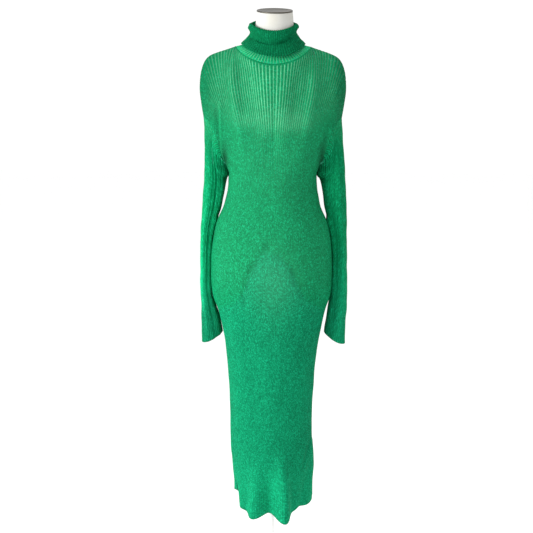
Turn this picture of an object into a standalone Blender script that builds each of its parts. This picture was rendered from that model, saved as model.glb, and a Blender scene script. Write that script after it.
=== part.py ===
"""Rib-knit turtleneck sweater dress on a limbless dress form with a pole stand.

Units are metres, +Z is up and the wearer faces -Y, so the wearer's left is +X.
The origin is the centre of the stand's underside, on the floor.
"""

import bmesh
import bpy
import numpy as np

# ---- driving sizes of the knit -------------------------------------------------------------
HEM_HEIGHT = 0.265  # hem above the floor
UNDERARM_HEIGHT = 1.300  # level where body and sleeve part
RIBS_PER_PANEL = 48
RIBS_PER_SLEEVE = 28
RIBS_ON_COLLAR = 42
RIBS_TO_NECKLINE = 20  # of a panel's ribs, those that end on the neckline
VALLEY_WALL = 0.0012  # wall thickness between two ribs
RIB_WALL = 0.0027  # wall thickness at the top of a rib
SEAM_GAP = 0.0003
PANEL_STEP, SLEEVE_STEP, COLLAR_STEP = 4, 2, 4  # outer points for each inner one
BODY_Y = 0.010  # the body's own centre plane, a little behind the pole's
TOP_SHIFT_X = -0.0035  # neckline and shoulders sit a little to -X of the form

# ---- driving sizes of the form and its stand -----------------------------------------------
BASE_RADIUS, BASE_THICKNESS, BASE_EDGE = 0.150, 0.012, 0.004
HUB_RADIUS, HUB_TOP = 0.030, 0.045
POLE_RADIUS = 0.0125
FORM_BOTTOM = 0.925
FORM_INSET = 0.0016  # from the dress's inside to the form, below the underarm
NECK_TOP_TILT = 0.247  # rise of the neck's top plane for each metre towards the back
CAP_THICKNESS = 0.0035
FORM_SIDES, ROUND_SIDES, POLE_SIDES = 28, 32, 24

# ---- tables, a row for each section -------------------------------------------------------
# The dress below the underarm, at the inside of its wall: half width, front and back depth
# from the body's centre plane, and the shift of the section towards +X.
BODY_COLUMNS = ("z", "half_x", "front", "back", "shift_x", "right_back")
BODY_SECTIONS = (
    (0.240, 0.1215, 0.098, 0.102, 0.008, 0.034),
    (0.315, 0.1215, 0.099, 0.102, 0.008, 0.028),
    (0.390, 0.1265, 0.100, 0.102, 0.006, 0.018),
    (0.469, 0.1245, 0.101, 0.102, 0.001, 0.006),
    (0.572, 0.1248, 0.101, 0.103, -0.001, 0.000),
    (0.674, 0.1295, 0.102, 0.105, -0.001, 0.000),
    (0.757, 0.1370, 0.104, 0.109, -0.001, 0.000),
    (0.826, 0.1475, 0.107, 0.114, -0.001, 0.000),
    (0.890, 0.1630, 0.111, 0.121, -0.002, 0.000),
    (0.935, 0.1770, 0.115, 0.128, -0.003, 0.000),
    (0.975, 0.1808, 0.116, 0.130, -0.003, 0.000),
    (1.036, 0.1805, 0.116, 0.130, -0.003, 0.000),
    (1.097, 0.1755, 0.116, 0.123, -0.003, 0.000),
    (1.146, 0.1655, 0.113, 0.109, -0.003, 0.000),
    (1.206, 0.1415, 0.104, 0.093, -0.003, 0.000),
    (1.266, 0.1300, 0.098, 0.087, -0.002, 0.000),
    (1.310, 0.1285, 0.099, 0.087, -0.002, 0.000),
)

# The ridge that the two panels share: shoulder seam, then over the dropped shoulder's end
# and down its outer side, from the neckline to the armhole's top.
RIDGE_COLUMNS = ("along", "x", "z")
RIDGE = (
    (0.00, 0.1085, 1.6680),
    (0.17, 0.1400, 1.6572),
    (0.34, 0.1700, 1.6470),
    (0.46, 0.1905, 1.6345),
    (0.56, 0.2030, 1.6150),
    (0.67, 0.2110, 1.5830),
    (0.78, 0.2135, 1.5450),
    (0.89, 0.2110, 1.5050),
    (1.00, 0.2045, 1.4620),
)
RIDGE_Y = 0.012
NECK_SHARE = RIBS_TO_NECKLINE / RIBS_PER_PANEL

# How a rib leaves the underarm row (lift) and arrives at the top edge (land), for the front.
# The back panel uses the same rows with the depth turned round and less of it.
RIB_COLUMNS = ("across", "lift_x", "lift_y", "lift_z", "land_x", "land_y", "land_z")
RIB_PATHS = (
    (0.00, 0.000, -0.020, 0.110, 0.000, 0.035, 0.075),
    (0.20, 0.004, -0.035, 0.110, 0.006, 0.051, 0.072),
    (0.32, 0.008, -0.043, 0.110, -0.002, 0.067, 0.067),
    (0.42, 0.012, -0.046, 0.110, -0.018, 0.090, 0.059),
    (0.50, 0.016, -0.046, 0.110, -0.008, 0.074, 0.037),
    (0.62, 0.021, -0.048, 0.110, 0.002, 0.067, 0.024),
    (0.80, 0.018, -0.058, 0.100, 0.010, 0.062, 0.006),
    (0.92, 0.020, -0.062, 0.075, 0.030, 0.066, 0.002),
    (1.00, 0.030, -0.062, 0.045, 0.036, 0.060, 0.006),
)
BACK_DEPTH_SHARE = 0.75

# The neckline's seam: half width, front and back reach, and its three heights.
NECKLINE_HALF_X, NECKLINE_FRONT, NECKLINE_BACK = 0.1085, 0.0926, 0.0677
NECKLINE_Z_FRONT, NECKLINE_Z_SIDE, NECKLINE_Z_BACK = 1.6110, 1.6680, 1.6820

# The hem's flutes, at the angle from the panel's middle: positive towards +X.
FLUTE_COLUMNS = ("hem_angle", "top_angle", "width", "depth", "top_z")
FRONT_FLUTES = (
    (-25.0, -22.0, 10.0, 0.029, 0.470),
    (-8.0, -6.0, 8.0, -0.006, 0.440),
    (12.5, 12.0, 8.5, 0.045, 0.500),
    (44.0, 74.0, 10.0, -0.010, 0.490),
)
BACK_FLUTES = (
    (-48.0, -40.0, 12.0, 0.016, 0.500),
    (-14.0, -10.0, 11.0, 0.026, 0.560),
    (8.0, 8.0, 9.0, -0.006, 0.450),
    (30.0, 26.0, 12.0, 0.024, 0.520),
    (66.0, 62.0, 12.0, 0.012, 0.460),
)
FLUTE_DIP = 0.35  # how far a flute's hem drops, for each metre that it stands out

# The slit in the side seam at -X.
SLIT_TOP, SLIT_SHARE = 0.450, 0.55
SLIT_FRONT_IN, SLIT_FRONT_FORWARD = 0.021, 0.016
SLIT_BACK_IN, SLIT_BACK_BEHIND, SLIT_BACK_RISE = -0.002, 0.004, 0.034
SLIT_CURL_SHARE, SLIT_CURL = 0.14, 0.014  # the back's edge curls in behind the front's

# Sleeves below the underarm, at the inside of the wall: outer and inner reach from the
# middle of the body, centre and half depth.
SLEEVE_COLUMNS = ("z", "outer", "inner", "centre_y", "half_y")
SLEEVE_RIGHT = (
    (1.260, 0.2075, 0.1450, 0.015, 0.038),
    (1.206, 0.2115, 0.1550, 0.017, 0.035),
    (1.146, 0.2163, 0.1745, 0.023, 0.035),
    (1.097, 0.2185, 0.1845, 0.029, 0.038),
    (1.036, 0.2200, 0.1890, 0.032, 0.040),
    (0.960, 0.2198, 0.1897, 0.032, 0.040),
    (0.900, 0.2175, 0.1768, 0.028, 0.036),
    (0.850, 0.2160, 0.1605, 0.026, 0.033),
    (0.794, 0.2150, 0.1520, 0.025, 0.032),
)
SLEEVE_LEFT = (
    (1.260, 0.2165, 0.1480, 0.015, 0.039),
    (1.206, 0.2200, 0.1555, 0.017, 0.036),
    (1.146, 0.2225, 0.1690, 0.021, 0.034),
    (1.097, 0.2240, 0.1780, 0.027, 0.036),
    (1.036, 0.2258, 0.1825, 0.030, 0.038),
    (0.960, 0.2283, 0.1825, 0.030, 0.038),
    (0.900, 0.2285, 0.1740, 0.028, 0.036),
    (0.850, 0.2255, 0.1680, 0.026, 0.034),
    (0.793, 0.2235, 0.1600, 0.025, 0.033),
)
# Lengthwise folds of a hanging sleeve, at the angle round it: 0 is outward, 90 the front.
SLEEVE_FOLD_COLUMNS = ("top_angle", "cuff_angle", "width", "depth", "top_z", "bottom_z")
SLEEVE_RIGHT_FOLDS = (
    (112.0, 100.0, 20.0, -0.0045, 1.360, 0.780),
    (232.0, 240.0, 20.0, -0.0045, 1.360, 0.780),
    (300.0, 305.0, 20.0, -0.0030, 1.280, 0.900),
)
SLEEVE_LEFT_FOLDS = (
    (116.0, 114.0, 20.0, -0.0040, 1.360, 0.780),
    (222.0, 238.0, 20.0, -0.0045, 1.360, 0.780),
    (290.0, 300.0, 20.0, -0.0030, 1.250, 0.900),
)
CUFF_TILT_RIGHT, CUFF_TILT_LEFT = 0.016, 0.017  # outer side below the inner, each way
UNDERARM_OPEN = 0.0045  # sleeve and body stand this far apart at the underarm point

# The turtleneck as one fabric path, from the neckline seam up the neck, over the fold and
# down the turned-over part: side, front and back reach and height of each station.
COLLAR_COLUMNS = ("station", "side", "front", "back", "z_side", "z_front", "z_back")
COLLAR_PATH = (
    (0, 0.1080, 0.0922, 0.0673, 1.6687, 1.6119, 1.6831),
    (1, 0.0985, 0.0845, 0.0660, 1.6696, 1.6213, 1.6913),
    (2, 0.0860, 0.0755, 0.0648, 1.6712, 1.6340, 1.7000),
    (3, 0.0730, 0.0675, 0.0634, 1.6800, 1.6515, 1.7100),
    (4, 0.0652, 0.0642, 0.0620, 1.6970, 1.6720, 1.7210),
    (5, 0.0627, 0.0630, 0.0612, 1.7160, 1.6930, 1.7350),
    (6, 0.0666, 0.0665, 0.0645, 1.7310, 1.7065, 1.7480),
    (7, 0.0718, 0.0722, 0.0697, 1.7290, 1.7020, 1.7430),
    (8, 0.0740, 0.0748, 0.0715, 1.7220, 1.6915, 1.7330),
    (9, 0.0682, 0.0728, 0.0688, 1.7100, 1.6715, 1.7220),
    (10, 0.0732, 0.0785, 0.0715, 1.6980, 1.6620, 1.7110),
    (11, 0.0832, 0.0900, 0.0765, 1.6870, 1.6470, 1.7005),
    (12, 0.0945, 0.1035, 0.0830, 1.6765, 1.6315, 1.6895),
)
COLLAR_Y = 0.008
COLLAR_HALF_WALL = 0.0006  # half of a valley's wall
COLLAR_RIB = 0.0013  # a rib's height over the valley
NECKBAND_STATIONS = (0, 1, 2, 3)  # ribs show outside the tube
TURNED_STATIONS = (6, 7, 8, 9, 10, 11, 12)  # and on the turned-over part

# The form: horizontal sections, half width, front and back depth and squareness.
FORM_COLUMNS = ("z", "half_x", "front", "back", "centre_y", "power")
FORM_SECTIONS = (
    (1.360, 0.1250, 0.1000, 0.0860, 0.010, 2.0),
    (1.420, 0.1310, 0.1085, 0.0880, 0.010, 2.0),
    (1.480, 0.1410, 0.1110, 0.0870, 0.010, 2.0),
    (1.540, 0.1560, 0.1010, 0.0820, 0.010, 2.0),
    (1.580, 0.1640, 0.0805, 0.0660, 0.010, 1.95),
    (1.610, 0.1660, 0.0640, 0.0530, 0.010, 1.75),
    (1.630, 0.1560, 0.0490, 0.0420, 0.010, 1.65),
    (1.645, 0.1320, 0.0370, 0.0340, 0.010, 1.60),
    (1.655, 0.1050, 0.0270, 0.0340, 0.010, 1.60),
    (1.668, 0.0640, 0.0560, 0.0540, 0.008, 2.0),
    (1.690, 0.0572, 0.0560, 0.0560, 0.006, 2.0),
    (1.730, 0.0555, 0.0550, 0.0550, 0.003, 2.0),
    (1.767, 0.0528, 0.0528, 0.0528, 0.000, 2.0),
)
# Its hips and waist lie inside the dress, at the dress's own rows.
FORM_LOW_HEIGHTS = (0.935, 1.036, 1.130, 1.206, 1.300)
FORM_EDGE = 0.012  # how far the underside's rim is eased
NECK_TILT_FROM = 1.730  # sections above this one lean with the neck's top plane


def curve(table, columns, key, name, at):
    """A smooth curve without overshoot through one column of a table, read at `at`."""
    rows = np.array(table, float)
    x, y = rows[:, columns.index(key)], rows[:, columns.index(name)]
    if x[0] > x[-1]:
        x, y = x[::-1], y[::-1]
    step, rise = np.diff(x), np.diff(y)
    slope = rise / step
    tangent = np.empty(len(x))
    tangent[0], tangent[-1] = slope[0], slope[-1]
    before, after = slope[:-1], slope[1:]
    total = before + after
    same = before * after > 0
    tangent[1:-1] = np.where(same, 2 * before * after / np.where(same, total, 1), 0)
    at = np.clip(np.asarray(at, float), x[0], x[-1])
    i = np.clip(np.searchsorted(x, at) - 1, 0, len(step) - 1)
    t = (at - x[i]) / step[i]
    return (
        (1 + 2 * t) * (1 - t) ** 2 * y[i]
        + t * (1 - t) ** 2 * step[i] * tangent[i]
        + t * t * (3 - 2 * t) * y[i + 1]
        + t * t * (t - 1) * step[i] * tangent[i + 1]
    )


def smooth_step(t):
    t = np.clip(t, 0, 1)
    return t * t * (3 - 2 * t)


def stacked(*parts):
    return np.stack(np.broadcast_arrays(*parts), axis=-1)


def unit(vectors):
    return vectors / np.linalg.norm(vectors, axis=-1, keepdims=True)


# ---- front and back panels -----------------------------------------------------------------


def neckline(across, front):
    """A point of the neckline's half at `across`, from 0 in the middle to 1 at the shoulder."""
    forward, sideways = np.cos(np.pi / 2 * across), np.sin(np.pi / 2 * across)
    reach = NECKLINE_FRONT if front else -NECKLINE_BACK
    z_middle = NECKLINE_Z_FRONT if front else NECKLINE_Z_BACK
    z = NECKLINE_Z_SIDE + (z_middle - NECKLINE_Z_SIDE) * forward**1.5
    y = COLLAR_Y - reach * forward + (RIDGE_Y - COLLAR_Y) * sideways**4
    return stacked(NECKLINE_HALF_X * sideways, y, z)


def top_edge(across, front):
    """The panel's top edge: neckline, then shoulder, then down the dropped shoulder's end."""
    on_neck = neckline(np.clip(across / NECK_SHARE, 0, 1), front)
    along = np.clip((across - NECK_SHARE) / (1 - NECK_SHARE), 0, 1)
    x = curve(RIDGE, RIDGE_COLUMNS, "along", "x", along)
    z = curve(RIDGE, RIDGE_COLUMNS, "along", "z", along)
    on_ridge = stacked(x, np.full_like(x, RIDGE_Y), z)
    return np.where((across < NECK_SHARE)[..., None], on_neck, on_ridge)


def flute_depth(angle, z, flutes):
    """How far the skirt's flutes stand out at an angle, in degrees, and a height."""
    depth = np.zeros(np.broadcast(angle, z).shape)
    for hem_angle, top_angle, width, out, top_z in flutes:
        down = np.clip((top_z - z) / (top_z - HEM_HEIGHT), 0, 1.1)
        middle = top_angle + (hem_angle - top_angle) * down
        depth = depth + out * smooth_step(down) * np.exp(-(((angle - middle) / width) ** 2))
    return depth


def body_row(side, z, front):
    """A point of the dress below the underarm: side runs from -1 to 1 across the panel."""

    def read(name):
        return curve(BODY_SECTIONS, BODY_COLUMNS, "z", name, z)

    angle = np.pi / 2 * side
    forward = -1.0 if front else 1.0
    out = flute_depth(np.degrees(angle), z, FRONT_FLUTES if front else BACK_FLUTES)
    depth = read("front" if front else "back") + out
    x = read("shift_x") + (read("half_x") + out) * np.sin(angle)
    y = BODY_Y + forward * depth * np.cos(angle)
    y = y + read("right_back") * np.clip(np.sin(angle), 0, 1) ** 2
    near_slit = smooth_step((-side - 1 + SLIT_SHARE) / SLIT_SHARE)
    opened = near_slit * np.clip((SLIT_TOP - z) / (SLIT_TOP - HEM_HEIGHT), 0, 1.2) ** 1.3
    if front:
        x, y = x + SLIT_FRONT_IN * opened, y - SLIT_FRONT_FORWARD * opened
    else:
        x, y = x + SLIT_BACK_IN * opened, y + SLIT_BACK_BEHIND * opened
        curled = opened * smooth_step((-side - 1 + SLIT_CURL_SHARE) / SLIT_CURL_SHARE)
        x, y = x + SLIT_CURL * curled, y - 0.25 * SLIT_CURL * curled
    return stacked(x, y, z)


def hem_height(side, front):
    flutes = FRONT_FLUTES if front else BACK_FLUTES
    z = HEM_HEIGHT - FLUTE_DIP * flute_depth(90 * side, HEM_HEIGHT, flutes)
    if not front:
        z = z + SLIT_BACK_RISE * smooth_step((-side - 1 + SLIT_SHARE) / SLIT_SHARE)
    return z


def panel_point(side, up, front):
    """The inside of a panel's wall. side is -1 to 1; up is 0 at the hem, 1 at the underarm
    row and 2 at the top edge."""
    side, up = np.broadcast_arrays(np.asarray(side, float), np.asarray(up, float))
    hem = hem_height(side, front)
    z = hem + (UNDERARM_HEIGHT - hem) * np.clip(up, 0, 1)
    low = body_row(side, z, front)
    across, sign = np.abs(side), np.sign(side)
    shift = curve(BODY_SECTIONS, BODY_COLUMNS, "z", "shift_x", UNDERARM_HEIGHT)
    start = body_row(across, np.full_like(across, UNDERARM_HEIGHT), front)
    start = start - stacked(shift, 0.0, 0.0)
    end = top_edge(across, front)
    turn = 1.0 if front else -BACK_DEPTH_SHARE
    lift_x, lift_y, lift_z, land_x, land_y, land_z = (
        curve(RIB_PATHS, RIB_COLUMNS, "across", name, across) for name in RIB_COLUMNS[1:]
    )
    lift = stacked(lift_x, turn * lift_y, lift_z)
    land = stacked(land_x, turn * land_y, land_z)
    t = np.clip(up - 1, 0, 1)[..., None]
    high = (
        (1 - t) ** 3 * start
        + 3 * (1 - t) ** 2 * t * (start + lift)
        + 3 * (1 - t) * t * t * (end - land)
        + t**3 * end
    )
    lean = shift + (TOP_SHIFT_X - shift) * t[..., 0]
    high = high * stacked(sign, 1.0, 1.0) + stacked(lean, 0.0, 0.0)
    return np.where((up <= 1)[..., None], low, high)


def normals(point, across, along, step_a=1e-3, step_b=1e-3, low=(-1.0, 0.0), high=(1.0, 2.0)):
    """Unit normals of a surface, from points a small step away on each side."""
    across, along = np.broadcast_arrays(across, along)
    a0, a1 = np.clip(across - step_a, low[0], high[0]), np.clip(across + step_a, low[0], high[0])
    b0, b1 = np.clip(along - step_b, low[1], high[1]), np.clip(along + step_b, low[1], high[1])
    u = point(a1, along) - point(a0, along)
    v = point(across, b1) - point(across, b0)
    return unit(np.cross(u, v))


def rib_walls(count):
    """Wall thickness at each outer column: valleys at the even ones, ribs between them."""
    columns = np.arange(2 * count + 1)
    return np.where(columns % 2 == 1, RIB_WALL, VALLEY_WALL)


# Row positions of a panel: below the underarm as heights, above it counted in the sleeve's
# outer points, so that the two armhole edges meet point to point.
PANEL_HEIGHTS = (0.33, 0.40, 0.48, 0.60, 0.74, 0.86, 0.935, 1.036, 1.130, 1.206)
PANEL_SLEEVE_POINTS = (6, 12, 18, 22, 26)
ROWS_WITH_FLUTES = 3  # lowest rows, where the inside has as many points as the outside


def panel_rows():
    span = UNDERARM_HEIGHT - HEM_HEIGHT
    low = [(z - HEM_HEIGHT) / span for z in PANEL_HEIGHTS]
    high = [1 + k / RIBS_PER_SLEEVE for k in PANEL_SLEEVE_POINTS]
    return np.array([0.0, *low, 1.0, *high, 2.0])


def panel(name, front, material):
    ups = panel_rows()[:, None]
    sides = np.linspace(-1, 1, 2 * RIBS_PER_PANEL + 1)[None, :]
    facing = 1.0 if front else -1.0

    def point(side, up):
        return panel_point(side, up, front)

    base = point(sides, ups)
    normal = facing * normals(point, sides, ups)
    # The seam edges stop half a gap short of the plane that the two panels share.
    edge = np.abs(sides) == 1
    on_top = (ups == 2) & (np.abs(sides) >= NECK_SHARE - 1e-9)
    base[..., 1] -= np.where(edge | on_top, 0.5 * facing * SEAM_GAP, 0.0)
    outer = base + normal * rib_walls(RIBS_PER_PANEL)[None, :, None]
    full = [*range(ROWS_WITH_FLUTES), len(base) - 1]
    inner = [row if k in full else row[::PANEL_STEP] for k, row in enumerate(base)]
    return wall(name, outer, inner, material, closed=False)


# ---- sleeves ---------------------------------------------------------------------------------


def armhole(turn, x_sign):
    """The armhole's loop, which follows the panels' edge points, and its wall normals.
    turn is 0 at the outer top, 0.25 in front, 0.5 at the underarm and 0.75 behind."""
    half = 1 - np.abs(1 - 2 * turn)  # 0 at the outer top, 1 at the underarm
    knots = panel_rows()
    knots = knots[knots >= 1]
    in_front = (turn <= 0.5)[..., None]
    loops, outward = [], []
    for front in (True, False):

        def point(side, up, front=front):
            return panel_point(side, up, front)

        edge = np.full_like(knots, x_sign)
        facing = 1.0 if front else -1.0
        at = point(edge, knots)
        above, below = np.clip(knots + 1e-3, 1, 2), np.clip(knots - 1e-3, 1, 2)
        normal = facing * normals(point, edge, knots)
        ahead = facing * x_sign * unit(np.cross(point(edge, above) - point(edge, below), normal))
        at = at + ahead * SEAM_GAP * 1.5
        for found, values in ((loops, at), (outward, normal)):
            read = [np.interp(2 - half, knots, values[:, k]) for k in range(3)]
            found.append(np.stack(read, axis=-1))
    where = np.where(in_front, loops[0], loops[1])
    return where, unit(np.where(in_front, outward[0], outward[1])), half


def fold_depth(turn, z, folds):
    angle = 360 * turn
    depth = np.zeros(np.broadcast(turn, z).shape)
    for top_angle, cuff_angle, width, out, top_z, bottom_z in folds:
        down = np.clip((top_z - z) / (top_z - bottom_z), 0, 1)
        middle = top_angle + (cuff_angle - top_angle) * down
        fade = smooth_step((top_z - z) / 0.12) * (0.35 + 0.65 * smooth_step((z - bottom_z) / 0.1))
        depth = depth + out * fade * np.exp(-(((angle - middle) / width) ** 2))
    return depth


def sleeve_section(turn, z, x_sign, table, folds):
    """The inside of a hanging sleeve at a height: an oval with its lengthwise folds."""
    angle = 2 * np.pi * turn
    outer = curve(table, SLEEVE_COLUMNS, "z", "outer", z)
    inner = curve(table, SLEEVE_COLUMNS, "z", "inner", z)
    centre_y = curve(table, SLEEVE_COLUMNS, "z", "centre_y", z)
    half_y = curve(table, SLEEVE_COLUMNS, "z", "half_y", z)
    fold = fold_depth(turn, z, folds)
    x = (outer + inner) / 2 + ((outer - inner) / 2 + fold) * np.cos(angle)
    y = centre_y - (half_y + fold) * np.sin(angle)
    return stacked(x_sign * x, y, z)


SLEEVE_TOP_Z = 1.250  # the first full oval below the armhole
SLEEVE_JOIN = (0.25, 0.60)  # rows between the armhole and it
SLEEVE_HEIGHTS = (1.190, 1.120, 1.036, 0.960, 0.900, 0.850)


def sleeve_point(turn, down, x_sign, table, folds, tilt):
    """The inside of a sleeve's wall: down is 0 at the armhole, 1 at SLEEVE_TOP_Z and 2 at
    the cuff."""
    turn, down = np.broadcast_arrays(np.asarray(turn, float), np.asarray(down, float))
    around = turn % 1.0
    start, _, half = armhole(around, x_sign)
    near = smooth_step((half - 0.4) / 0.6)
    start = start + stacked(x_sign * UNDERARM_OPEN * near, 0.0, -0.25 * UNDERARM_OPEN * near)
    end = sleeve_section(around, np.full_like(turn, SLEEVE_TOP_Z), x_sign, table, folds)
    below = sleeve_section(around, np.full_like(turn, SLEEVE_TOP_Z - 0.01), x_sign, table, folds)
    t = np.clip(down, 0, 1)[..., None]
    reach = np.linalg.norm(end - start, axis=-1, keepdims=True)
    arrive = unit(end - below) * reach * 0.4
    joined = (
        (1 - t) ** 2 * start
        + 2 * (1 - t) * t * (end + arrive)
        + t * t * end
    )
    cuff = table[-1][0] - tilt * np.cos(2 * np.pi * around)
    z = SLEEVE_TOP_Z + (cuff - SLEEVE_TOP_Z) * np.clip(down - 1, 0, 1)
    hanging = sleeve_section(around, z, x_sign, table, folds)
    return np.where((down <= 1)[..., None], joined, hanging)


def sleeve(name, x_sign, table, folds, tilt, material):
    span = SLEEVE_TOP_Z - table[-1][0]
    hanging = [1 + (SLEEVE_TOP_Z - z) / span for z in SLEEVE_HEIGHTS]
    downs = np.array([0.0, *SLEEVE_JOIN, 1.0, *hanging, 2.0])[:, None]
    turns = (np.arange(2 * RIBS_PER_SLEEVE) / (2 * RIBS_PER_SLEEVE))[None, :]

    def point(turn, down):
        return sleeve_point(turn, down, x_sign, table, folds, tilt)

    base = point(turns, downs)
    normal = x_sign * normals(point, turns, downs, low=(-1.0, 0.0), high=(2.0, 2.0))
    _, seam_normal, half = armhole(turns[0] % 1.0, x_sign)
    own = smooth_step((half - 0.35) / 0.4)[:, None]
    normal[0] = unit(seam_normal * (1 - own) + normal[0] * own)
    walls = np.tile(rib_walls(RIBS_PER_SLEEVE)[:-1], (len(base), 1))
    walls[0] = VALLEY_WALL  # the ribs end at the armhole seam
    outer = base + normal * walls[..., None]
    return wall(name, outer, base[:, ::SLEEVE_STEP], material, closed=True)


# ---- turtleneck ------------------------------------------------------------------------------


def collar_point(turn, station):
    """The middle of the turtleneck's fabric: turn is 0 in front, 0.5 behind."""
    turn, station = np.broadcast_arrays(np.asarray(turn, float), np.asarray(station, float))

    def read(name):
        return curve(COLLAR_PATH, COLLAR_COLUMNS, "station", name, station)

    angle = 2 * np.pi * turn
    forward = np.cos(angle)
    in_front = forward >= 0
    reach = np.where(in_front, read("front"), read("back"))
    z_middle = np.where(in_front, read("z_front"), read("z_back"))
    z = read("z_side") + (z_middle - read("z_side")) * np.abs(forward) ** 1.5
    # Beside the shoulder seam the neckline follows the panels' own edge.
    y = COLLAR_Y - reach * forward
    y = y + (RIDGE_Y - COLLAR_Y) * np.abs(np.sin(angle)) ** 4 * np.clip(1 - station / 3, 0, 1)
    return stacked(TOP_SHIFT_X + read("side") * np.sin(angle), y, z)


def turtleneck(name, material):
    stations = np.arange(len(COLLAR_PATH), dtype=float)[:, None]
    turns = (np.arange(2 * RIBS_ON_COLLAR) / (2 * RIBS_ON_COLLAR))[None, :]
    last = float(len(COLLAR_PATH) - 1)
    middle = collar_point(turns, stations)
    out = normals(collar_point, turns, stations, low=(-1.0, 0.0), high=(2.0, last))
    rib = np.where(np.arange(2 * RIBS_ON_COLLAR) % 2 == 1, COLLAR_RIB, 0.0)[None, :, None]
    plain = COLLAR_HALF_WALL * np.ones_like(rib)
    outside, inside = [], []
    for k in range(len(COLLAR_PATH)):
        seen_outside = k in NECKBAND_STATIONS
        seen_inside = k in TURNED_STATIONS
        outside.append((middle + out * (plain + rib * seen_outside))[k])
        inside.append((middle - out * (plain + rib * seen_inside))[k])
        if not seen_outside:
            outside[-1] = outside[-1][::COLLAR_STEP]
        if not seen_inside:
            inside[-1] = inside[-1][::COLLAR_STEP]
    # Round the fabric: up its outside and back down its inside.
    return closed_rings(name, outside + inside[::-1], material)


# ---- meshes ----------------------------------------------------------------------------------


def stitch(bm, low, high, closed):
    """Faces between two rows of vertices, where one may have several for each of the other's."""
    few, many, flipped = (low, high, True) if len(low) < len(high) else (high, low, False)
    segments = len(few) if closed else len(few) - 1
    each = (len(many) if closed else len(many) - 1) // segments
    for i in range(segments):
        a, b = few[i], few[(i + 1) % len(few)]
        span = [many[(i * each + k) % len(many)] for k in range(each + 1)]
        if each == 1:
            faces = [(span[0], span[1], b, a)]
        else:
            half = each // 2
            faces = [(span[k], span[k + 1], a if k < half else b) for k in range(each)]
            faces.append((span[half], b, a))
        for face in faces:
            bm.faces.new(face[::-1] if flipped else face)


def add_rows(bm, rows):
    return [[bm.verts.new(point) for point in row] for row in rows]


def finished(name, bm, material):
    bmesh.ops.recalc_face_normals(bm, faces=bm.faces)
    mesh = bpy.data.meshes.new(name)
    bm.to_mesh(mesh)
    bm.free()
    mesh.shade_smooth()
    mesh.set_sharp_from_angle(angle=np.radians(50))
    mesh.materials.append(material)
    made = bpy.data.objects.new(name, mesh)
    bpy.context.scene.collection.objects.link(made)
    return made


def wall(name, outer, inner, material, closed):
    """A cloth wall: the ribbed outer rows, the plain inner rows and the edges between them."""
    bm = bmesh.new()
    outside, inside = add_rows(bm, outer), add_rows(bm, inner)
    rows = outside + inside[::-1]
    for low, high in zip(rows, rows[1:] + rows[:1]):
        stitch(bm, low, high, closed)
    if not closed:
        for side in (0, -1):
            for k in range(len(outside) - 1):
                corners = (
                    outside[k][side],
                    outside[k + 1][side],
                    inside[k + 1][side],
                    inside[k][side],
                )
                bm.faces.new(corners)
    return finished(name, bm, material)


def closed_rings(name, rings, material):
    bm = bmesh.new()
    rows = add_rows(bm, rings)
    for low, high in zip(rows, rows[1:] + rows[:1]):
        stitch(bm, low, high, closed=True)
    return finished(name, bm, material)


def lofted(name, rings, material):
    """A solid through rings of equal length, with flat ends."""
    bm = bmesh.new()
    rows = add_rows(bm, rings)
    for low, high in zip(rows, rows[1:]):
        stitch(bm, low, high, closed=True)
    bm.faces.new(rows[0][::-1])
    bm.faces.new(rows[-1])
    return finished(name, bm, material)


# ---- form and stand --------------------------------------------------------------------------


def tilt_height(y):
    """The neck's top plane against its own middle."""
    return NECK_TOP_TILT * y


def form_ring(z, half_x, front, back, centre_y=BODY_Y, power=2.0):
    angle = 2 * np.pi * np.arange(FORM_SIDES) / FORM_SIDES
    cosine, sine = np.cos(angle), np.sin(angle)
    x = half_x * np.sign(cosine) * np.abs(cosine) ** (2 / power)
    depth = np.where(sine > 0, back, front)
    y = centre_y + depth * np.sign(sine) * np.abs(sine) ** (2 / power)
    height = np.full_like(x, z)
    if z > NECK_TILT_FROM:
        height = height + tilt_height(y)
    return stacked(x, y, height)


def form_body(material):
    """The torso: hips and waist follow the dress's inside, the rest is its own table."""
    rings = []
    for z in FORM_LOW_HEIGHTS:
        half_x, front, back, shift = (
            float(curve(BODY_SECTIONS, BODY_COLUMNS, "z", name, z)) for name in BODY_COLUMNS[1:5]
        )
        sizes = (half_x - abs(shift) - FORM_INSET, front - FORM_INSET, back - FORM_INSET)
        if not rings:
            rings.append(form_ring(FORM_BOTTOM, *(size - FORM_EDGE for size in sizes)))
        rings.append(form_ring(z, *sizes))
    rings += [form_ring(*row) for row in FORM_SECTIONS]
    return lofted("form_torso", rings, material)


def neck_cap(material):
    """The tilted disc on the neck, with an eased upper edge."""
    top = dict(zip(FORM_COLUMNS, FORM_SECTIONS[-1]))
    ease = 0.0010
    seat = top["z"] + SEAM_GAP * 1.1
    levels = (
        (seat, 0.0),
        (seat + CAP_THICKNESS - ease, 0.0),
        (seat + CAP_THICKNESS, ease),
    )
    angle = 2 * np.pi * np.arange(ROUND_SIDES) / ROUND_SIDES
    rings = []
    for z, inset in levels:
        radius = top["half_x"] - inset
        x, y = radius * np.cos(angle), radius * np.sin(angle)
        rings.append(stacked(x, y, z + tilt_height(y)))
    return lofted("form_neck_cap", rings, material)


def turned(name, profile, sides, material):
    """A round solid from (radius, height) pairs, bottom to top."""
    angle = 2 * np.pi * np.arange(sides) / sides
    rings = [
        stacked(radius * np.cos(angle), radius * np.sin(angle), np.full_like(angle, z))
        for radius, z in profile
    ]
    return lofted(name, rings, material)


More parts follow.
